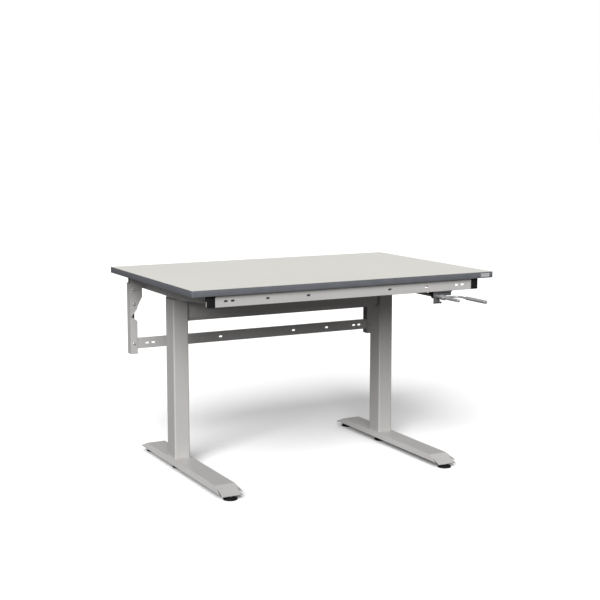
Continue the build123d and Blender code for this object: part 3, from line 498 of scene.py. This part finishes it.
# ---------------------------------------------------------------- mesh tools
def settle(
    bm: bmesh.types.BMesh, name: str, slot: Slot, body: str, stands_for: Iterable[str] = ()
) -> bpy.types.Object:
    """Turns a bmesh into a finished piece that moves with its body.

    Args:
        bm: the shape, in place.
        name: the piece's name.
        slot: its material slot.
        body: the body it moves with.
        stands_for: CAD nodes that it is shown in place of.

    Returns:
        The new object.
    """
    bmesh.ops.remove_doubles(bm, verts=bm.verts, dist=MERGE)
    bmesh.ops.dissolve_degenerate(bm, edges=bm.edges, dist=MERGE)
    bmesh.ops.recalc_face_normals(bm, faces=bm.faces)
    for part in bm.faces:
        part.smooth = True
    for edge in bm.edges:
        edge.smooth = edge.calc_face_angle(0.0) < SHARP
    mesh = bpy.data.meshes.new(name)
    bm.to_mesh(mesh)
    bm.free()
    mesh.materials.append(slot.made())
    piece = bpy.data.objects.new(name, mesh)
    bpy.context.scene.collection.objects.link(piece)
    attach(piece, body)
    if stands_for:
        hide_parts(*stands_for)
    LOG.info("%s: %d faces", name, len(mesh.polygons))
    return piece


def standing(start: Point, direction: Point) -> Matrix:
    """Returns the matrix that takes local z to a direction and the origin to a point."""
    turn = Vector(direction).to_track_quat("Z", "Y").to_matrix().to_4x4()
    return Matrix.Translation(start) @ turn


def draw(bm: bmesh.types.BMesh, outline: Sequence[tuple[float, float]]) -> list[Any]:
    """Draws an open outline in the plane of local x and z.

    Args:
        bm: the bmesh that takes the outline.
        outline: pairs of radius and height.

    Returns:
        The outline's vertices and edges.
    """
    verts = [bm.verts.new((radius, 0.0, height)) for radius, height in outline]
    return verts + [bm.edges.new(pair) for pair in zip(verts, verts[1:])]


def lathe(
    bm: bmesh.types.BMesh, outline: Sequence[tuple[float, float]], place: Matrix, steps: int = 40
) -> list[bmesh.types.BMVert]:
    """Spins an outline of radius and height about local z.

    Args:
        bm: the bmesh that takes the shape.
        outline: pairs of radius and height.
        place: where local z ends up.
        steps: faces around.

    Returns:
        The new vertices.
    """
    before = set(bm.verts)
    bmesh.ops.spin(
        bm,
        geom=draw(bm, outline),
        cent=(0, 0, 0),
        axis=(0, 0, 1),
        dvec=(0, 0, 0),
        angle=ROUND,
        steps=steps,
        use_merge=True,
    )
    made = [vert for vert in bm.verts if vert not in before]
    bmesh.ops.remove_doubles(bm, verts=made, dist=FINE_MERGE)
    made = [vert for vert in bm.verts if vert not in before]
    bmesh.ops.transform(bm, matrix=place, verts=made)
    return made


def block(
    bm: bmesh.types.BMesh, low: Point, high: Point, rounding: float = 0.0, segments: int = 2
) -> list[bmesh.types.BMFace]:
    """Makes a block between two corners with rounded edges.

    Args:
        bm: the bmesh that takes the shape.
        low: lowest corner.
        high: highest corner.
        rounding: bevel width.
        segments: bevel steps.

    Returns:
        The block's faces.
    """
    before = set(bm.faces)
    size = Vector(high) - Vector(low)
    middle = (Vector(high) + Vector(low)) / 2
    matrix = Matrix.Translation(middle) @ Matrix.Diagonal((*size, 1.0))
    verts = bmesh.ops.create_cube(bm, size=1.0, matrix=matrix)["verts"]
    if rounding:
        edges = list({edge for vert in verts for edge in vert.link_edges})
        soften(bm, edges, rounding, segments)
    return [part for part in bm.faces if part not in before]


def soften(
    bm: bmesh.types.BMesh, edges: Sequence[bmesh.types.BMEdge], width: float, segments: int = 2
) -> None:
    """Bevels edges with an even round.

    Args:
        bm: the bmesh that holds the edges.
        edges: the edges to round.
        width: how far the round reaches from the edge.
        segments: bevel steps.
    """
    bmesh.ops.bevel(
        bm,
        geom=list(edges),
        offset=width,
        offset_type="OFFSET",
        segments=segments,
        profile=0.5,
        affect="EDGES",
        material=-1,
    )


def helix(
    bm: bmesh.types.BMesh,
    profile: Sequence[tuple[float, float]],
    place: Matrix,
    lead: float,
    turns: float,
    steps: int = 20,
) -> None:
    """Winds a thread ridge about local z.

    Args:
        bm: the bmesh that takes the shape.
        profile: pairs of radius and height across the ridge.
        place: where local z ends up.
        lead: rise in a full turn.
        turns: number of turns.
        steps: steps in a turn.
    """
    before = set(bm.verts)
    bmesh.ops.spin(
        bm,
        geom=draw(bm, profile),
        cent=(0, 0, 0),
        axis=(0, 0, 1),
        dvec=(0, 0, lead / steps),
        angle=ROUND * turns,
        steps=int(turns * steps),
    )
    made = [vert for vert in bm.verts if vert not in before]
    bmesh.ops.transform(bm, matrix=place, verts=made)


class Assembly:
    """A group of pieces that is built and dressed by itself."""

    def build(self) -> None:
        """Makes the group's own pieces, where it has some."""

    def dress(self) -> None:
        """Gives the group's CAD nodes their finishes, where it has some."""


# ---------------------------------------------------------------- fasteners
class Drive(Enum):
    """Shape of the recess in a screw's head, as its number of lobes."""

    HEX_SOCKET = 6
    CROSS = 4


@dataclass(frozen=True)
class Screw:
    """A screw with a rounded head and a driver recess."""

    head_radius: float
    head_height: float
    shank_radius: float
    grip: float
    drive: Drive = Drive.HEX_SOCKET
    recess: float = 0.48
    steps: int = 24

    def outline(self) -> list[tuple[float, float]]:
        """Draws half of the screw's section.

        Returns:
            Pairs of radius and height, from the shank's end to the bottom of the recess.
        """
        head, tall, shank = self.head_radius, self.head_height, self.shank_radius
        recess = self.recess * head
        return [
            (0.0, -self.grip),
            (0.8 * shank, -self.grip),
            (shank, -self.grip + 0.2 * shank),
            (shank, 0.0),
            (head, 0.0),
            (head, 0.35 * tall),
            (0.93 * head, 0.7 * tall),
            (0.75 * head, 0.95 * tall),
            (0.62 * head, tall),
            (recess, tall),
            (0.94 * recess, 0.92 * tall),
            (0.94 * recess, 0.45 * tall),
            (0.0, 0.38 * tall),
        ]

    def add_to(self, bm: bmesh.types.BMesh, place: Matrix) -> None:
        """Adds the screw to a bmesh, with its seat at the origin of place and its head along local z.

        Args:
            bm: the bmesh that takes the shape.
            place: the seat's matrix.
        """
        verts = lathe(bm, self.outline(), Matrix.Identity(4), self.steps)
        limit = 0.5 * self.head_radius
        floor = 0.3 * self.head_height
        for vert in verts:
            radius = math.hypot(vert.co.x, vert.co.y)
            if vert.co.z > floor and MERGE < radius < limit:
                factor = self._recess(math.atan2(vert.co.y, vert.co.x))
                vert.co.x *= factor
                vert.co.y *= factor
        bmesh.ops.transform(bm, matrix=place, verts=verts)

    def _recess(self, angle: float) -> float:
        """Works out how far the recess reaches at an angle.

        Args:
            angle: angle about the screw.

        Returns:
            The reach as a share of the recess's radius.
        """
        lobe = ROUND / self.drive.value
        if self.drive is Drive.HEX_SOCKET:
            offset = (angle + lobe / 2) % lobe - lobe / 2
            return 0.9 / max(0.5, math.cos(math.pi / 6 - abs(offset)))
        return 0.4 + 0.6 * abs(math.cos(angle * 2)) ** 3


@dataclass
class Fasteners(Assembly):
    """Every bolt and screw that shows on the frame."""

    big: Screw = Screw(head_radius=0.0065, head_height=0.005, shank_radius=0.004, grip=0.0105)
    small: Screw = Screw(head_radius=0.005, head_height=0.0035, shank_radius=0.003, grip=0.005)
    foot: Screw = Screw(head_radius=0.0065, head_height=0.005, shank_radius=0.004, grip=0.011)
    wood: Screw = Screw(0.005, head_height=0.0025, shank_radius=0.0025, grip=0.0185, drive=Drive.CROSS)
    arm_half: float = 0.030
    arm_bolt_y: float = 0.070
    arm_bolt_z: float = 0.675
    beam_x: float = 0.401
    beam_half: float = 0.028
    beam_z: float = 0.685
    hanger_y: float = 0.438
    hanger_bolts: tuple[tuple[float, float], ...] = ((0.502, 0.695), (0.526, 0.650), (0.526, 0.594))
    rail_bolt: Point = (0.526, 0.441, 0.440)
    foot_spread: tuple[float, float] = (0.018, 0.026)
    foot_z: float = 0.039
    wood_z: float = 0.712
    wood_seats: tuple[tuple[float, float], ...] = (
        (-0.015, 0.090),
        (0.015, 0.250),
        (-0.015, 0.420),
        (0.015, 0.640),
        (-0.015, 0.725),
    )

    def build(self) -> None:
        """Makes the three groups of fasteners."""
        self._build_frame_screws()
        self._build_foot_screws()
        self._build_wood_screws()

    def _build_frame_screws(self) -> None:
        """Makes the bolts through the side arms, beam, hanger plates and lower rail."""
        bm = bmesh.new()
        for side in SIDES.values():
            for out in (-1.0, 1.0):
                for shift in (-self.arm_bolt_y, self.arm_bolt_y):
                    start = (side * LEG_X + out * self.arm_half, LEG_Y + shift, self.arm_bolt_z)
                    self.big.add_to(bm, standing(start, (out, 0, 0)))
                start = (side * self.beam_x, LEG_Y + out * self.beam_half, self.beam_z)
                self.small.add_to(bm, standing(start, (0, out, 0)))
            for x, z in self.hanger_bolts:
                self.small.add_to(bm, standing((side * x, self.hanger_y, z), (0, -1, 0)))
            x, y, z = self.rail_bolt
            self.small.add_to(bm, standing((side * x, y, z), (0, -1, 0)))
        settle(bm, "frame_screws", Slot.zinc_steel, "lift", ["frame_bolts"])

    def _build_foot_screws(self) -> None:
        """Makes the bolts that hold the columns on the feet."""
        bm = bmesh.new()
        spread_x, spread_y = self.foot_spread
        for side in SIDES.values():
            for x in (-spread_x, spread_x):
                for y in (-spread_y, spread_y):
                    start = (side * LEG_X + x, LEG_Y + y, self.foot_z)
                    self.foot.add_to(bm, standing(start, (0, 0, -1)))
        settle(bm, "foot_screws", Slot.zinc_steel, "base", ["column_bolts"])

    def _build_wood_screws(self) -> None:
        """Makes the screws from the side arms up into the table top."""
        bm = bmesh.new()
        for side in SIDES.values():
            for x, y in self.wood_seats:
                start = (side * LEG_X + x, FRONT + y, self.wood_z)
                self.wood.add_to(bm, standing(start, (0, 0, -1)))
        settle(bm, "wood_screws", Slot.zinc_steel, "lift", ["tabletop_screws"])


# ---------------------------------------------------------------- table top
@dataclass
class TableTop(Assembly):
    """Laminated board with a plastic band round its edge and a blank plate at one corner."""

    half_width: float = 0.600
    front: float = FRONT
    rear: float = 0.485
    bottom: float = 0.715
    top: float = 0.737
    band: float = 0.002
    corner: float = 0.003
    edge_round: float = 0.0009
    least_cap: float = 0.5
    plate_round: float = 0.00025
    plate_rim: float = 0.0012
    rim_step: float = 0.0002
    rim_depth: float = 0.00015

    def build(self) -> None:
        """Makes the band and the plate."""
        self._build_band()
        self._build_plate()

    def _build_band(self) -> None:
        """Makes the edge band as a ring with rounded long edges."""
        bm = bmesh.new()
        low = (-self.half_width, self.front, self.bottom)
        high = (self.half_width, self.rear, self.top)
        block(bm, low, high)
        upright = [edge for edge in bm.edges if abs(edge.verts[0].co.z - edge.verts[1].co.z) > self.band]
        soften(bm, upright, self.corner, 4)
        caps = [part for part in bm.faces if abs(part.normal.z) > LEVEL]
        bmesh.ops.inset_individual(bm, faces=caps, thickness=self.band, depth=0.0)
        flat = [part for part in bm.faces if abs(part.normal.z) > LEVEL]
        caps = [part for part in flat if part.calc_area() > self.least_cap]
        rims = list({edge for part in caps for edge in part.edges})
        bmesh.ops.delete(bm, geom=caps, context="FACES_ONLY")
        bmesh.ops.bridge_loops(bm, edges=[edge for edge in rims if edge.is_valid])
        outer = [edge for edge in bm.edges if self._is_outer_rim(edge)]
        soften(bm, outer, self.edge_round, 3)
        settle(bm, "edge_strip", Slot.edge_band, "lift", ["edge_band"])

    def _is_outer_rim(self, edge: bmesh.types.BMEdge) -> bool:
        """Tells whether an edge runs round the outside at the top or bottom.

        Args:
            edge: an edge of the band.

        Returns:
            True for an outer rim.
        """
        heights = [vert.co.z for vert in edge.verts]
        level = all(min(abs(z - self.bottom), abs(z - self.top)) < MERGE for z in heights)
        flat = abs(heights[0] - heights[1]) < MERGE
        middle = (edge.verts[0].co + edge.verts[1].co) / 2
        reach_x = self.half_width - abs(middle.x)
        reach_y = min(middle.y - self.front, self.rear - middle.y)
        return level and flat and min(reach_x, reach_y) < 0.5 * self.band and len(edge.link_faces) == 2

    def _build_plate(self) -> None:
        """Makes the blank plate with a raised rim."""
        low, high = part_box("blank_plate")
        bm = bmesh.new()
        block(bm, low, high, self.plate_round)
        face = min(bm.faces, key=lambda part: part.calc_center_median().y - part.calc_area())
        bmesh.ops.inset_individual(bm, faces=[face], thickness=self.plate_rim, depth=0.0)
        bmesh.ops.inset_individual(bm, faces=[face], thickness=self.rim_step, depth=-self.rim_depth)
        settle(bm, "maker_plate_blank", Slot.label_plate, "lift", ["blank_plate"])

    def dress(self) -> None:
        """Gives the board and its sheets their finishes."""
        dress(Slot.laminate, "top_sheet")
        dress(Slot.backing, "backing_sheet")
        dress(Slot.board, "tabletop_core")


# ---------------------------------------------------------------- feet
class Place(Enum):
    """Where a levelling foot stands, with its y and the top of its screw stem."""

    FRONT = (-0.253, 0.0195)
    MIDDLE = (0.210, 0.0340)
    REAR = (0.478, 0.0195)


@dataclass
class LevellingFoot:
    """Round pad with a ribbed rim, a hexagon neck and a threaded stem."""

    side: str
    place: Place
    pad_radius: float = 0.025
    pad_top: float = 0.009
    neck_radius: float = 0.0068
    neck_height: float = 0.0025
    neck_round: float = 0.0004
    stem_radius: float = 0.005
    stem_tip: float = 0.0006
    thread: float = 0.0015
    groove: float = 0.0007
    sink: float = 0.0001
    run_out: float = 0.002
    ribs: int = 36
    rib_width: float = 0.25
    rib_reach: float = 0.0003
    rib_draw: float = 0.985

    def build(self) -> None:
        """Makes the pad and the stem."""
        y, stem_top = self.place.value
        centre = Matrix.Translation((SIDES[self.side] * LEG_X, y, 0.0))
        place = f"{self.side}_{self.place.name.lower()}"
        node = f"levelling_foot_{place}"
        bm = bmesh.new()
        self._add_pad(bm, centre)
        settle(bm, f"pad_{place}", Slot.black_plastic, node, [node])
        bm = bmesh.new()
        self._add_stem(bm, centre, stem_top)
        settle(bm, f"stem_{place}", Slot.zinc_steel, node)

    def _add_pad(self, bm: bmesh.types.BMesh, centre: Matrix) -> None:
        """Adds the pad, with every second step of its rim drawn in.

        Args:
            bm: the bmesh that takes the shape.
            centre: where the foot's axis meets the floor.
        """
        wide = self.pad_radius
        outline = [
            (0.0, 0.0004),
            (wide - 0.005, 0.0004),
            (wide - 0.004, 0.0),
            (wide - 0.0012, 0.0),
            (wide - 0.0004, 0.0008),
            (wide, 0.0016),
            (wide, 0.0044),
            (wide - 0.0006, 0.0055),
            (wide - 0.0020, 0.0063),
            (0.0150, 0.0075),
            (0.0112, 0.0088),
            (0.0095, self.pad_top),
            (0.0, self.pad_top),
        ]
        verts = lathe(bm, outline, Matrix.Identity(4), 2 * self.ribs)
        for vert in verts:
            angle = math.atan2(vert.co.y, vert.co.x) * self.ribs / ROUND
            rim = math.hypot(vert.co.x, vert.co.y) > wide - self.rib_reach
            if rim and abs(angle - round(angle)) > self.rib_width:
                vert.co.x *= self.rib_draw
                vert.co.y *= self.rib_draw
        bmesh.ops.transform(bm, matrix=centre, verts=verts)

    def _add_stem(self, bm: bmesh.types.BMesh, centre: Matrix, stem_top: float) -> None:
        """Adds the hexagon neck, the stem's core and its thread.

        Args:
            bm: the bmesh that takes the shape.
            centre: where the foot's axis meets the floor.
            stem_top: height of the stem's upper end.
        """
        neck = bmesh.ops.create_cone(
            bm,
            cap_ends=True,
            segments=6,
            radius1=self.neck_radius,
            radius2=self.neck_radius,
            depth=self.neck_height,
            matrix=centre @ Matrix.Translation((0, 0, self.pad_top + self.neck_height / 2)),
        )["verts"]
        soften(bm, list({edge for vert in neck for edge in vert.link_edges}), self.neck_round)
        bottom = self.pad_top + self.neck_height
        core = self.stem_radius - self.groove
        outline = [
            (0.0, bottom),
            (core, bottom),
            (core, stem_top - self.stem_tip),
            (core - self.stem_tip, stem_top),
            (0.0, stem_top),
        ]
        lathe(bm, outline, centre, 24)
        turns = (stem_top - bottom - self.run_out) / self.thread
        root, crest = core - self.sink, self.stem_radius - self.sink
        ridge = [(root, 0.0), (crest, self.thread / 3), (root, 2 * self.thread / 3)]
        helix(bm, ridge, centre @ Matrix.Translation((0, 0, bottom)), self.thread, turns)


class Feet(Assembly):
    """The two floor beams and what they stand on."""

    def build(self) -> None:
        """Makes all six levelling feet."""
        for side in SIDES:
            for place in Place:
                LevellingFoot(side, place).build()

    def dress(self) -> None:
        """Gives the beams and their nuts their finishes."""
        dress(Slot.frame_paint, "foot_left", "foot_right", "column_base_plates")
        dress(Slot.zinc_steel, "weld_nuts")


# ---------------------------------------------------------------- columns and drive
@dataclass
class Columns(Assembly):
    """Two telescoping columns with lead screws inside."""

    screw_radius: float = 0.008
    screw_bottom: float = 0.130
    chamfer: float = 0.001
    shoulder: float = 0.6228
    collar: float = 0.006
    journal_top: float = 0.6502
    journal_radius: float = 0.006
    journal_chamfer: float = 0.0005
    lead: float = 0.008
    starts: int = 2
    groove: float = 0.0012
    sink: float = 0.0001
    flank: float = 0.0008
    crest: float = 0.0022
    thread_start: float = 0.002
    run_out: float = 0.016

    def build(self) -> None:
        """Makes the threaded lead screws."""
        for side, sign in SIDES.items():
            centre = Matrix.Translation((sign * LEG_X, LEG_Y, 0.0))
            bm = bmesh.new()
            self._add_core(bm, centre)
            self._add_thread(bm, centre)
            settle(bm, f"thread_{side}", Slot.bare_steel, f"screw_{side}", [f"lead_screw_{side}"])

    def _add_core(self, bm: bmesh.types.BMesh, centre: Matrix) -> None:
        """Adds a screw's core, collar and journal.

        Args:
            bm: the bmesh that takes the shape.
            centre: where the screw's axis meets the floor.
        """
        core = self.screw_radius - self.groove
        outline = [
            (0.0, self.screw_bottom),
            (core - self.chamfer, self.screw_bottom),
            (core, self.screw_bottom + self.chamfer),
            (core, self.shoulder - self.collar),
            (self.screw_radius, self.shoulder - self.collar),
            (self.screw_radius, self.shoulder),
            (self.journal_radius, self.shoulder),
            (self.journal_radius, self.journal_top - self.journal_chamfer),
            (self.journal_radius - self.journal_chamfer, self.journal_top),
            (0.0, self.journal_top),
        ]
        lathe(bm, outline, centre, 32)

    def _add_thread(self, bm: bmesh.types.BMesh, centre: Matrix) -> None:
        """Adds the starts of a screw's thread.

        Args:
            bm: the bmesh that takes the shape.
            centre: where the screw's axis meets the floor.
        """
        turns = (self.shoulder - self.screw_bottom - self.run_out) / self.lead
        root = self.screw_radius - self.groove - self.sink
        top = self.flank + self.crest
        ridge = [
            (root, 0.0),
            (self.screw_radius, self.flank),
            (self.screw_radius, top),
            (root, top + self.flank),
        ]
        for start in range(self.starts):
            height = self.screw_bottom + self.thread_start + start * self.lead / self.starts
            helix(bm, ridge, centre @ Matrix.Translation((0, 0, height)), self.lead, turns)

    def dress(self) -> None:
        """Gives tubes, bushes and nuts their finishes."""
        for side in SIDES:
            dress(Slot.frame_paint, f"outer_column_{side}", f"inner_column_{side}", f"head_bracket_{side}")
            dress(Slot.gear_steel, f"screw_gear_{side}")
            dress(Slot.cast_metal, f"head_gearbox_{side}")
        dress(Slot.grey_plastic, "guide_bushes")
        dress(Slot.black_plastic, "lower_glides")
        dress(Slot.brass_nut, "lead_nuts")
        dress(Slot.bare_steel, "nut_tubes", "cross_shaft")
        dress(Slot.bearing_steel, "screw_bearings")
        dress(Slot.gear_steel, "shaft_gears")
        dress(Slot.bronze, "shaft_bushes")
        dress(Slot.cast_metal, "crank_gearbox")
        dress(Slot.zinc_steel, "gearbox_lids", "lid_screws")
        dress(Slot.black_plastic, "shaft_hanger")


# ---------------------------------------------------------------- frame under the top
@dataclass
class UnderFrame(Assembly):
    """Side arms, rails, cross beam and rear posts."""

    rail_half: float = 0.5115
    cap_length: float = 0.030
    rail_depth: float = 0.015
    rail_bottom: float = 0.675
    rail_top: float = 0.715
    wall: float = 0.0015
    rail_fronts: tuple[float, float] = (-0.302, 0.441)
    cap_round: float = 0.0012
    cap_rim: float = 0.0016
    rim_step: float = 0.0004
    rim_depth: float = 0.0012
    plug_length: float = 0.010
    plug_lap: float = 0.001
    plug_gap: float = 0.0003
    plug_round: float = 0.0006
    tongue_inset: float = 0.0024
    tongue_depths: tuple[float, float] = (0.0016, 0.0002)
    tongue_round: float = 0.0004

    def build(self) -> None:
        """Makes the caps that close the rails."""
        bm = bmesh.new()
        for side in SIDES.values():
            for front in self.rail_fronts:
                self._add_cap(bm, side, front)
        settle(bm, "rail_caps", Slot.black_plastic, "lift", ["rail_end_caps"])
        self._build_tongues()

    def _add_cap(self, bm: bmesh.types.BMesh, side: float, front: float) -> None:
        """Adds one cap: a rounded head with a sunk end and a rounded plug in the tube.

        Args:
            bm: the bmesh that takes the shape.
            side: -1 at the left, 1 at the right.
            front: y of the rail's front wall.
        """
        near, far = sorted((side * self.rail_half, side * (self.rail_half + self.cap_length)))
        rear = front + self.rail_depth
        faces = block(bm, (near, front, self.rail_bottom), (far, rear, self.rail_top), self.cap_round, 3)
        end = max(faces, key=lambda part: part.normal.x * side * part.calc_area())
        bmesh.ops.inset_individual(bm, faces=[end], thickness=self.cap_rim, depth=0.0)
        bmesh.ops.inset_individual(bm, faces=[end], thickness=self.rim_step, depth=-self.rim_depth)
        inset = self.wall + self.plug_gap
        inner, outer = sorted(
            (side * (self.rail_half - self.plug_length), side * (self.rail_half + self.plug_lap))
        )
        low = (inner, front + inset, self.rail_bottom + inset)
        high = (outer, rear - inset, self.rail_top - inset)
        block(bm, low, high, self.plug_round)

    def _build_tongues(self) -> None:
        """Makes the painted steel tongues that show in the lower half of the sunk cap ends."""
        bm = bmesh.new()
        inset = self.tongue_inset
        end = self.rail_half + self.cap_length
        for side in SIDES.values():
            near, far = sorted(side * (end - depth) for depth in self.tongue_depths)
            for front in self.rail_fronts:
                low = (near, front + inset, self.rail_bottom + inset)
                high = (far, front + self.rail_depth - inset, (self.rail_bottom + self.rail_top) / 2)
                block(bm, low, high, self.tongue_round)
        settle(bm, "cap_tongues", Slot.frame_paint, "lift")

    def dress(self) -> None:
        """Gives the painted parts their finish."""
        for side in SIDES:
            dress(Slot.frame_paint, f"side_arm_{side}", f"rear_post_{side}")
        dress(Slot.frame_paint, "front_rail", "rear_rail", "lower_rail", "cross_beam")
        dress(Slot.frame_paint, "beam_brackets", "hanger_plates")


# ---------------------------------------------------------------- crank
@dataclass
class Crank(Assembly):
    """Cranked handle on a hexagon shaft in front of the rail."""

    hub: Point = (0.368, -0.333, 0.657)
    throw: float = 0.065
    grip_start: float = -0.387
    grip_end: float = -0.500
    grip_radius: float = 0.0065
    rod_radius: float = 0.00405
    chamfer: float = 0.0008
    grooves: int = 9
    groove_depth: float = 0.0006
    groove_half: float = 0.0016
    groove_floor: float = 0.0008
    plain_end: float = 0.015
    pin_half: float = 0.0096
    pin_radius: float = 0.0015
    pin_chamfer: float = 0.0004
    pin_bore: float = 0.0006
    pin_bore_depth: float = 0.001

    def build(self) -> None:
        """Makes the turning sleeve of the grip and the pin through the hub."""
        self._build_sleeve()
        self._build_pin()

    def _build_sleeve(self) -> None:
        """Makes the sleeve with rounded ends and finger grooves round its middle."""
        length = self.grip_start - self.grip_end
        wide, bore = self.grip_radius, self.rod_radius
        outline = [(bore, 0.0), (wide - self.chamfer, 0.0), (wide, self.chamfer)]
        step = (length - 2 * self.plain_end) / self.grooves
        deep = wide - self.groove_depth
        for groove in range(self.grooves):
            middle = self.plain_end + step * (groove + 0.5)
            outline += [(wide, middle - self.groove_half), (deep, middle - self.groove_floor)]
            outline += [(deep, middle + self.groove_floor), (wide, middle + self.groove_half)]
        outline += [(wide, length - self.chamfer), (wide - self.chamfer, length)]
        outline += [(bore, length), (bore, 0.0)]
        bm = bmesh.new()
        start = (self.hub[0] + self.throw, self.grip_start, self.hub[2])
        lathe(bm, outline, standing(start, (0, -1, 0)), 36)
        settle(bm, "grip_sleeve", Slot.dark_zinc, "crank_grip", ["crank_grip"])

    def _build_pin(self) -> None:
        """Makes the spring pin that holds the hub on the shaft."""
        bm = bmesh.new()
        tall, wide, slope = self.pin_half, self.pin_radius, self.pin_chamfer
        outline = [
            (0.0, -tall),
            (wide - slope, -tall),
            (wide, slope - tall),
            (wide, tall - slope),
            (wide - slope, tall),
            (self.pin_bore, tall),
            (self.pin_bore, tall - self.pin_bore_depth),
            (0.0, tall - self.pin_bore_depth),
        ]
        lathe(bm, outline, standing(self.hub, (0, 0, 1)), 16)
        settle(bm, "hub_pin", Slot.zinc_steel, "crank")

    def dress(self) -> None:
        """Gives the crank's parts their finishes."""
        dress(Slot.black_plastic, "crank_housing")
        dress(Slot.grey_plastic, "crank_end_cap")
        dress(Slot.dark_steel, "crank_bracket")
        dress(Slot.dark_zinc, "crank_shaft", "crank_arm")
        dress(Slot.gear_steel, "crank_gear")


# ---------------------------------------------------------------- studio
@dataclass
class Studio:
    """Pale floor, soft light and camera."""

    floor_half: float = 60.0
    floor_tone: Tone = (0.97, 0.97, 0.97)
    sky: float = 0.38
    sky_from: float = 0.8
    horizon: float = 0.15
    ground: float = 0.11
    key_strength: float = 5.5
    key_turn: float = math.radians(36.0)
    key_rise: float = math.radians(32.0)
    key_spread: float = math.radians(42.0)
    key_distance: float = 5.0
    camera_place: Point = (-2.1432, -4.0230, 1.2715)
    camera_heading: float = math.radians(27.615)
    camera_pitch: float = math.radians(8.006)
    lens: float = 74.587
    sensor: float = 36.0
    reach: float = 200.0

    def build(self) -> None:
        """Sets up floor, light and camera."""
        self._build_floor()
        self._build_sky()
        self._build_key()
        self._build_camera()

    def _build_floor(self) -> None:
        """Makes the floor. It takes shadows but throws no light back up."""
        bm = bmesh.new()
        bmesh.ops.create_grid(bm, x_segments=1, y_segments=1, size=self.floor_half)
        mesh = bpy.data.meshes.new("floor")
        bm.to_mesh(mesh)
        bm.free()
        board = NodeBoard("floor", self.floor_tone, 0.9, 0.0)
        board.set("Specular IOR Level", 0.0)
        mesh.materials.append(board.material)
        floor = bpy.data.objects.new("floor", mesh)
        bpy.context.scene.collection.objects.link(floor)
        floor.visible_diffuse = False
        floor.visible_glossy = False

    def _build_sky(self) -> None:
        """Makes a dome that darkens towards the horizon and below it, and is white where it is seen."""
        world = bpy.data.worlds.new("studio")
        world.use_nodes = True
        bpy.context.scene.world = world
        nodes, links = world.node_tree.nodes, world.node_tree.links
        nodes.clear()
        place = nodes.new("ShaderNodeTexCoord")
        split = nodes.new("ShaderNodeSeparateXYZ")
        links.new(place.outputs["Generated"], split.inputs[0])
        ramp = nodes.new("ShaderNodeMapRange")
        ramp.inputs["From Min"].default_value = -1.0
        ramp.inputs["From Max"].default_value = 1.0
        links.new(split.outputs["Z"], ramp.inputs["Value"])
        levels = nodes.new("ShaderNodeValToRGB")
        stops = ((0.0, self.ground), (0.5, self.horizon), (self.sky_from, self.sky))
        while len(levels.color_ramp.elements) < len(stops):
            levels.color_ramp.elements.new(0.5)
        for element, (position, level) in zip(levels.color_ramp.elements, stops):
            element.position = position
            element.color = (level, level, level, 1.0)
        links.new(ramp.outputs[0], levels.inputs["Fac"])
        dome = nodes.new("ShaderNodeBackground")
        links.new(levels.outputs["Color"], dome.inputs["Color"])
        seen = nodes.new("ShaderNodeBackground")
        seen.inputs["Color"].default_value = (*WHITE, 1.0)
        path = nodes.new("ShaderNodeLightPath")
        mix = nodes.new("ShaderNodeMixShader")
        links.new(path.outputs["Is Camera Ray"], mix.inputs[0])
        links.new(dome.outputs[0], mix.inputs[1])
        links.new(seen.outputs[0], mix.inputs[2])
        output = nodes.new("ShaderNodeOutputWorld")
        links.new(mix.outputs[0], output.inputs["Surface"])

    def _build_key(self) -> None:
        """Makes the broad key light from the front left."""
        light = bpy.data.lights.new("key", "SUN")
        light.energy = self.key_strength
        light.angle = self.key_spread
        lamp = bpy.data.objects.new("key", light)
        level = math.cos(self.key_rise)
        left, front = math.sin(self.key_turn) * level, math.cos(self.key_turn) * level
        towards = Vector((-left, -front, math.sin(self.key_rise)))
        lamp.rotation_euler = towards.to_track_quat("Z", "Y").to_euler()
        lamp.location = towards * self.key_distance
        bpy.context.scene.collection.objects.link(lamp)

    def _build_camera(self) -> None:
        """Makes the camera."""
        lens = bpy.data.cameras.new("camera")
        lens.sensor_width = self.sensor
        lens.lens = self.lens
        lens.clip_end = self.reach
        camera = bpy.data.objects.new("camera", lens)
        camera.location = self.camera_place
        camera.rotation_euler = (math.pi / 2 - self.camera_pitch, 0.0, -self.camera_heading)
        bpy.context.scene.collection.objects.link(camera)
        bpy.context.scene.camera = camera
        bpy.context.scene.view_settings.view_transform = "Standard"


def main() -> None:
    """Builds and dresses the desk, then sets up the studio."""
    logging.basicConfig(level=logging.INFO, format="%(name)s %(message)s")
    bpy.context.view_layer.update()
    assemblies = (TableTop(), Feet(), Columns(), UnderFrame(), Crank(), Fasteners())
    for assembly in assemblies:
        assembly.build()
        assembly.dress()
        LOG.info("%s done", type(assembly).__name__)
    Studio().build()


if __name__ == "__main__":
    main()
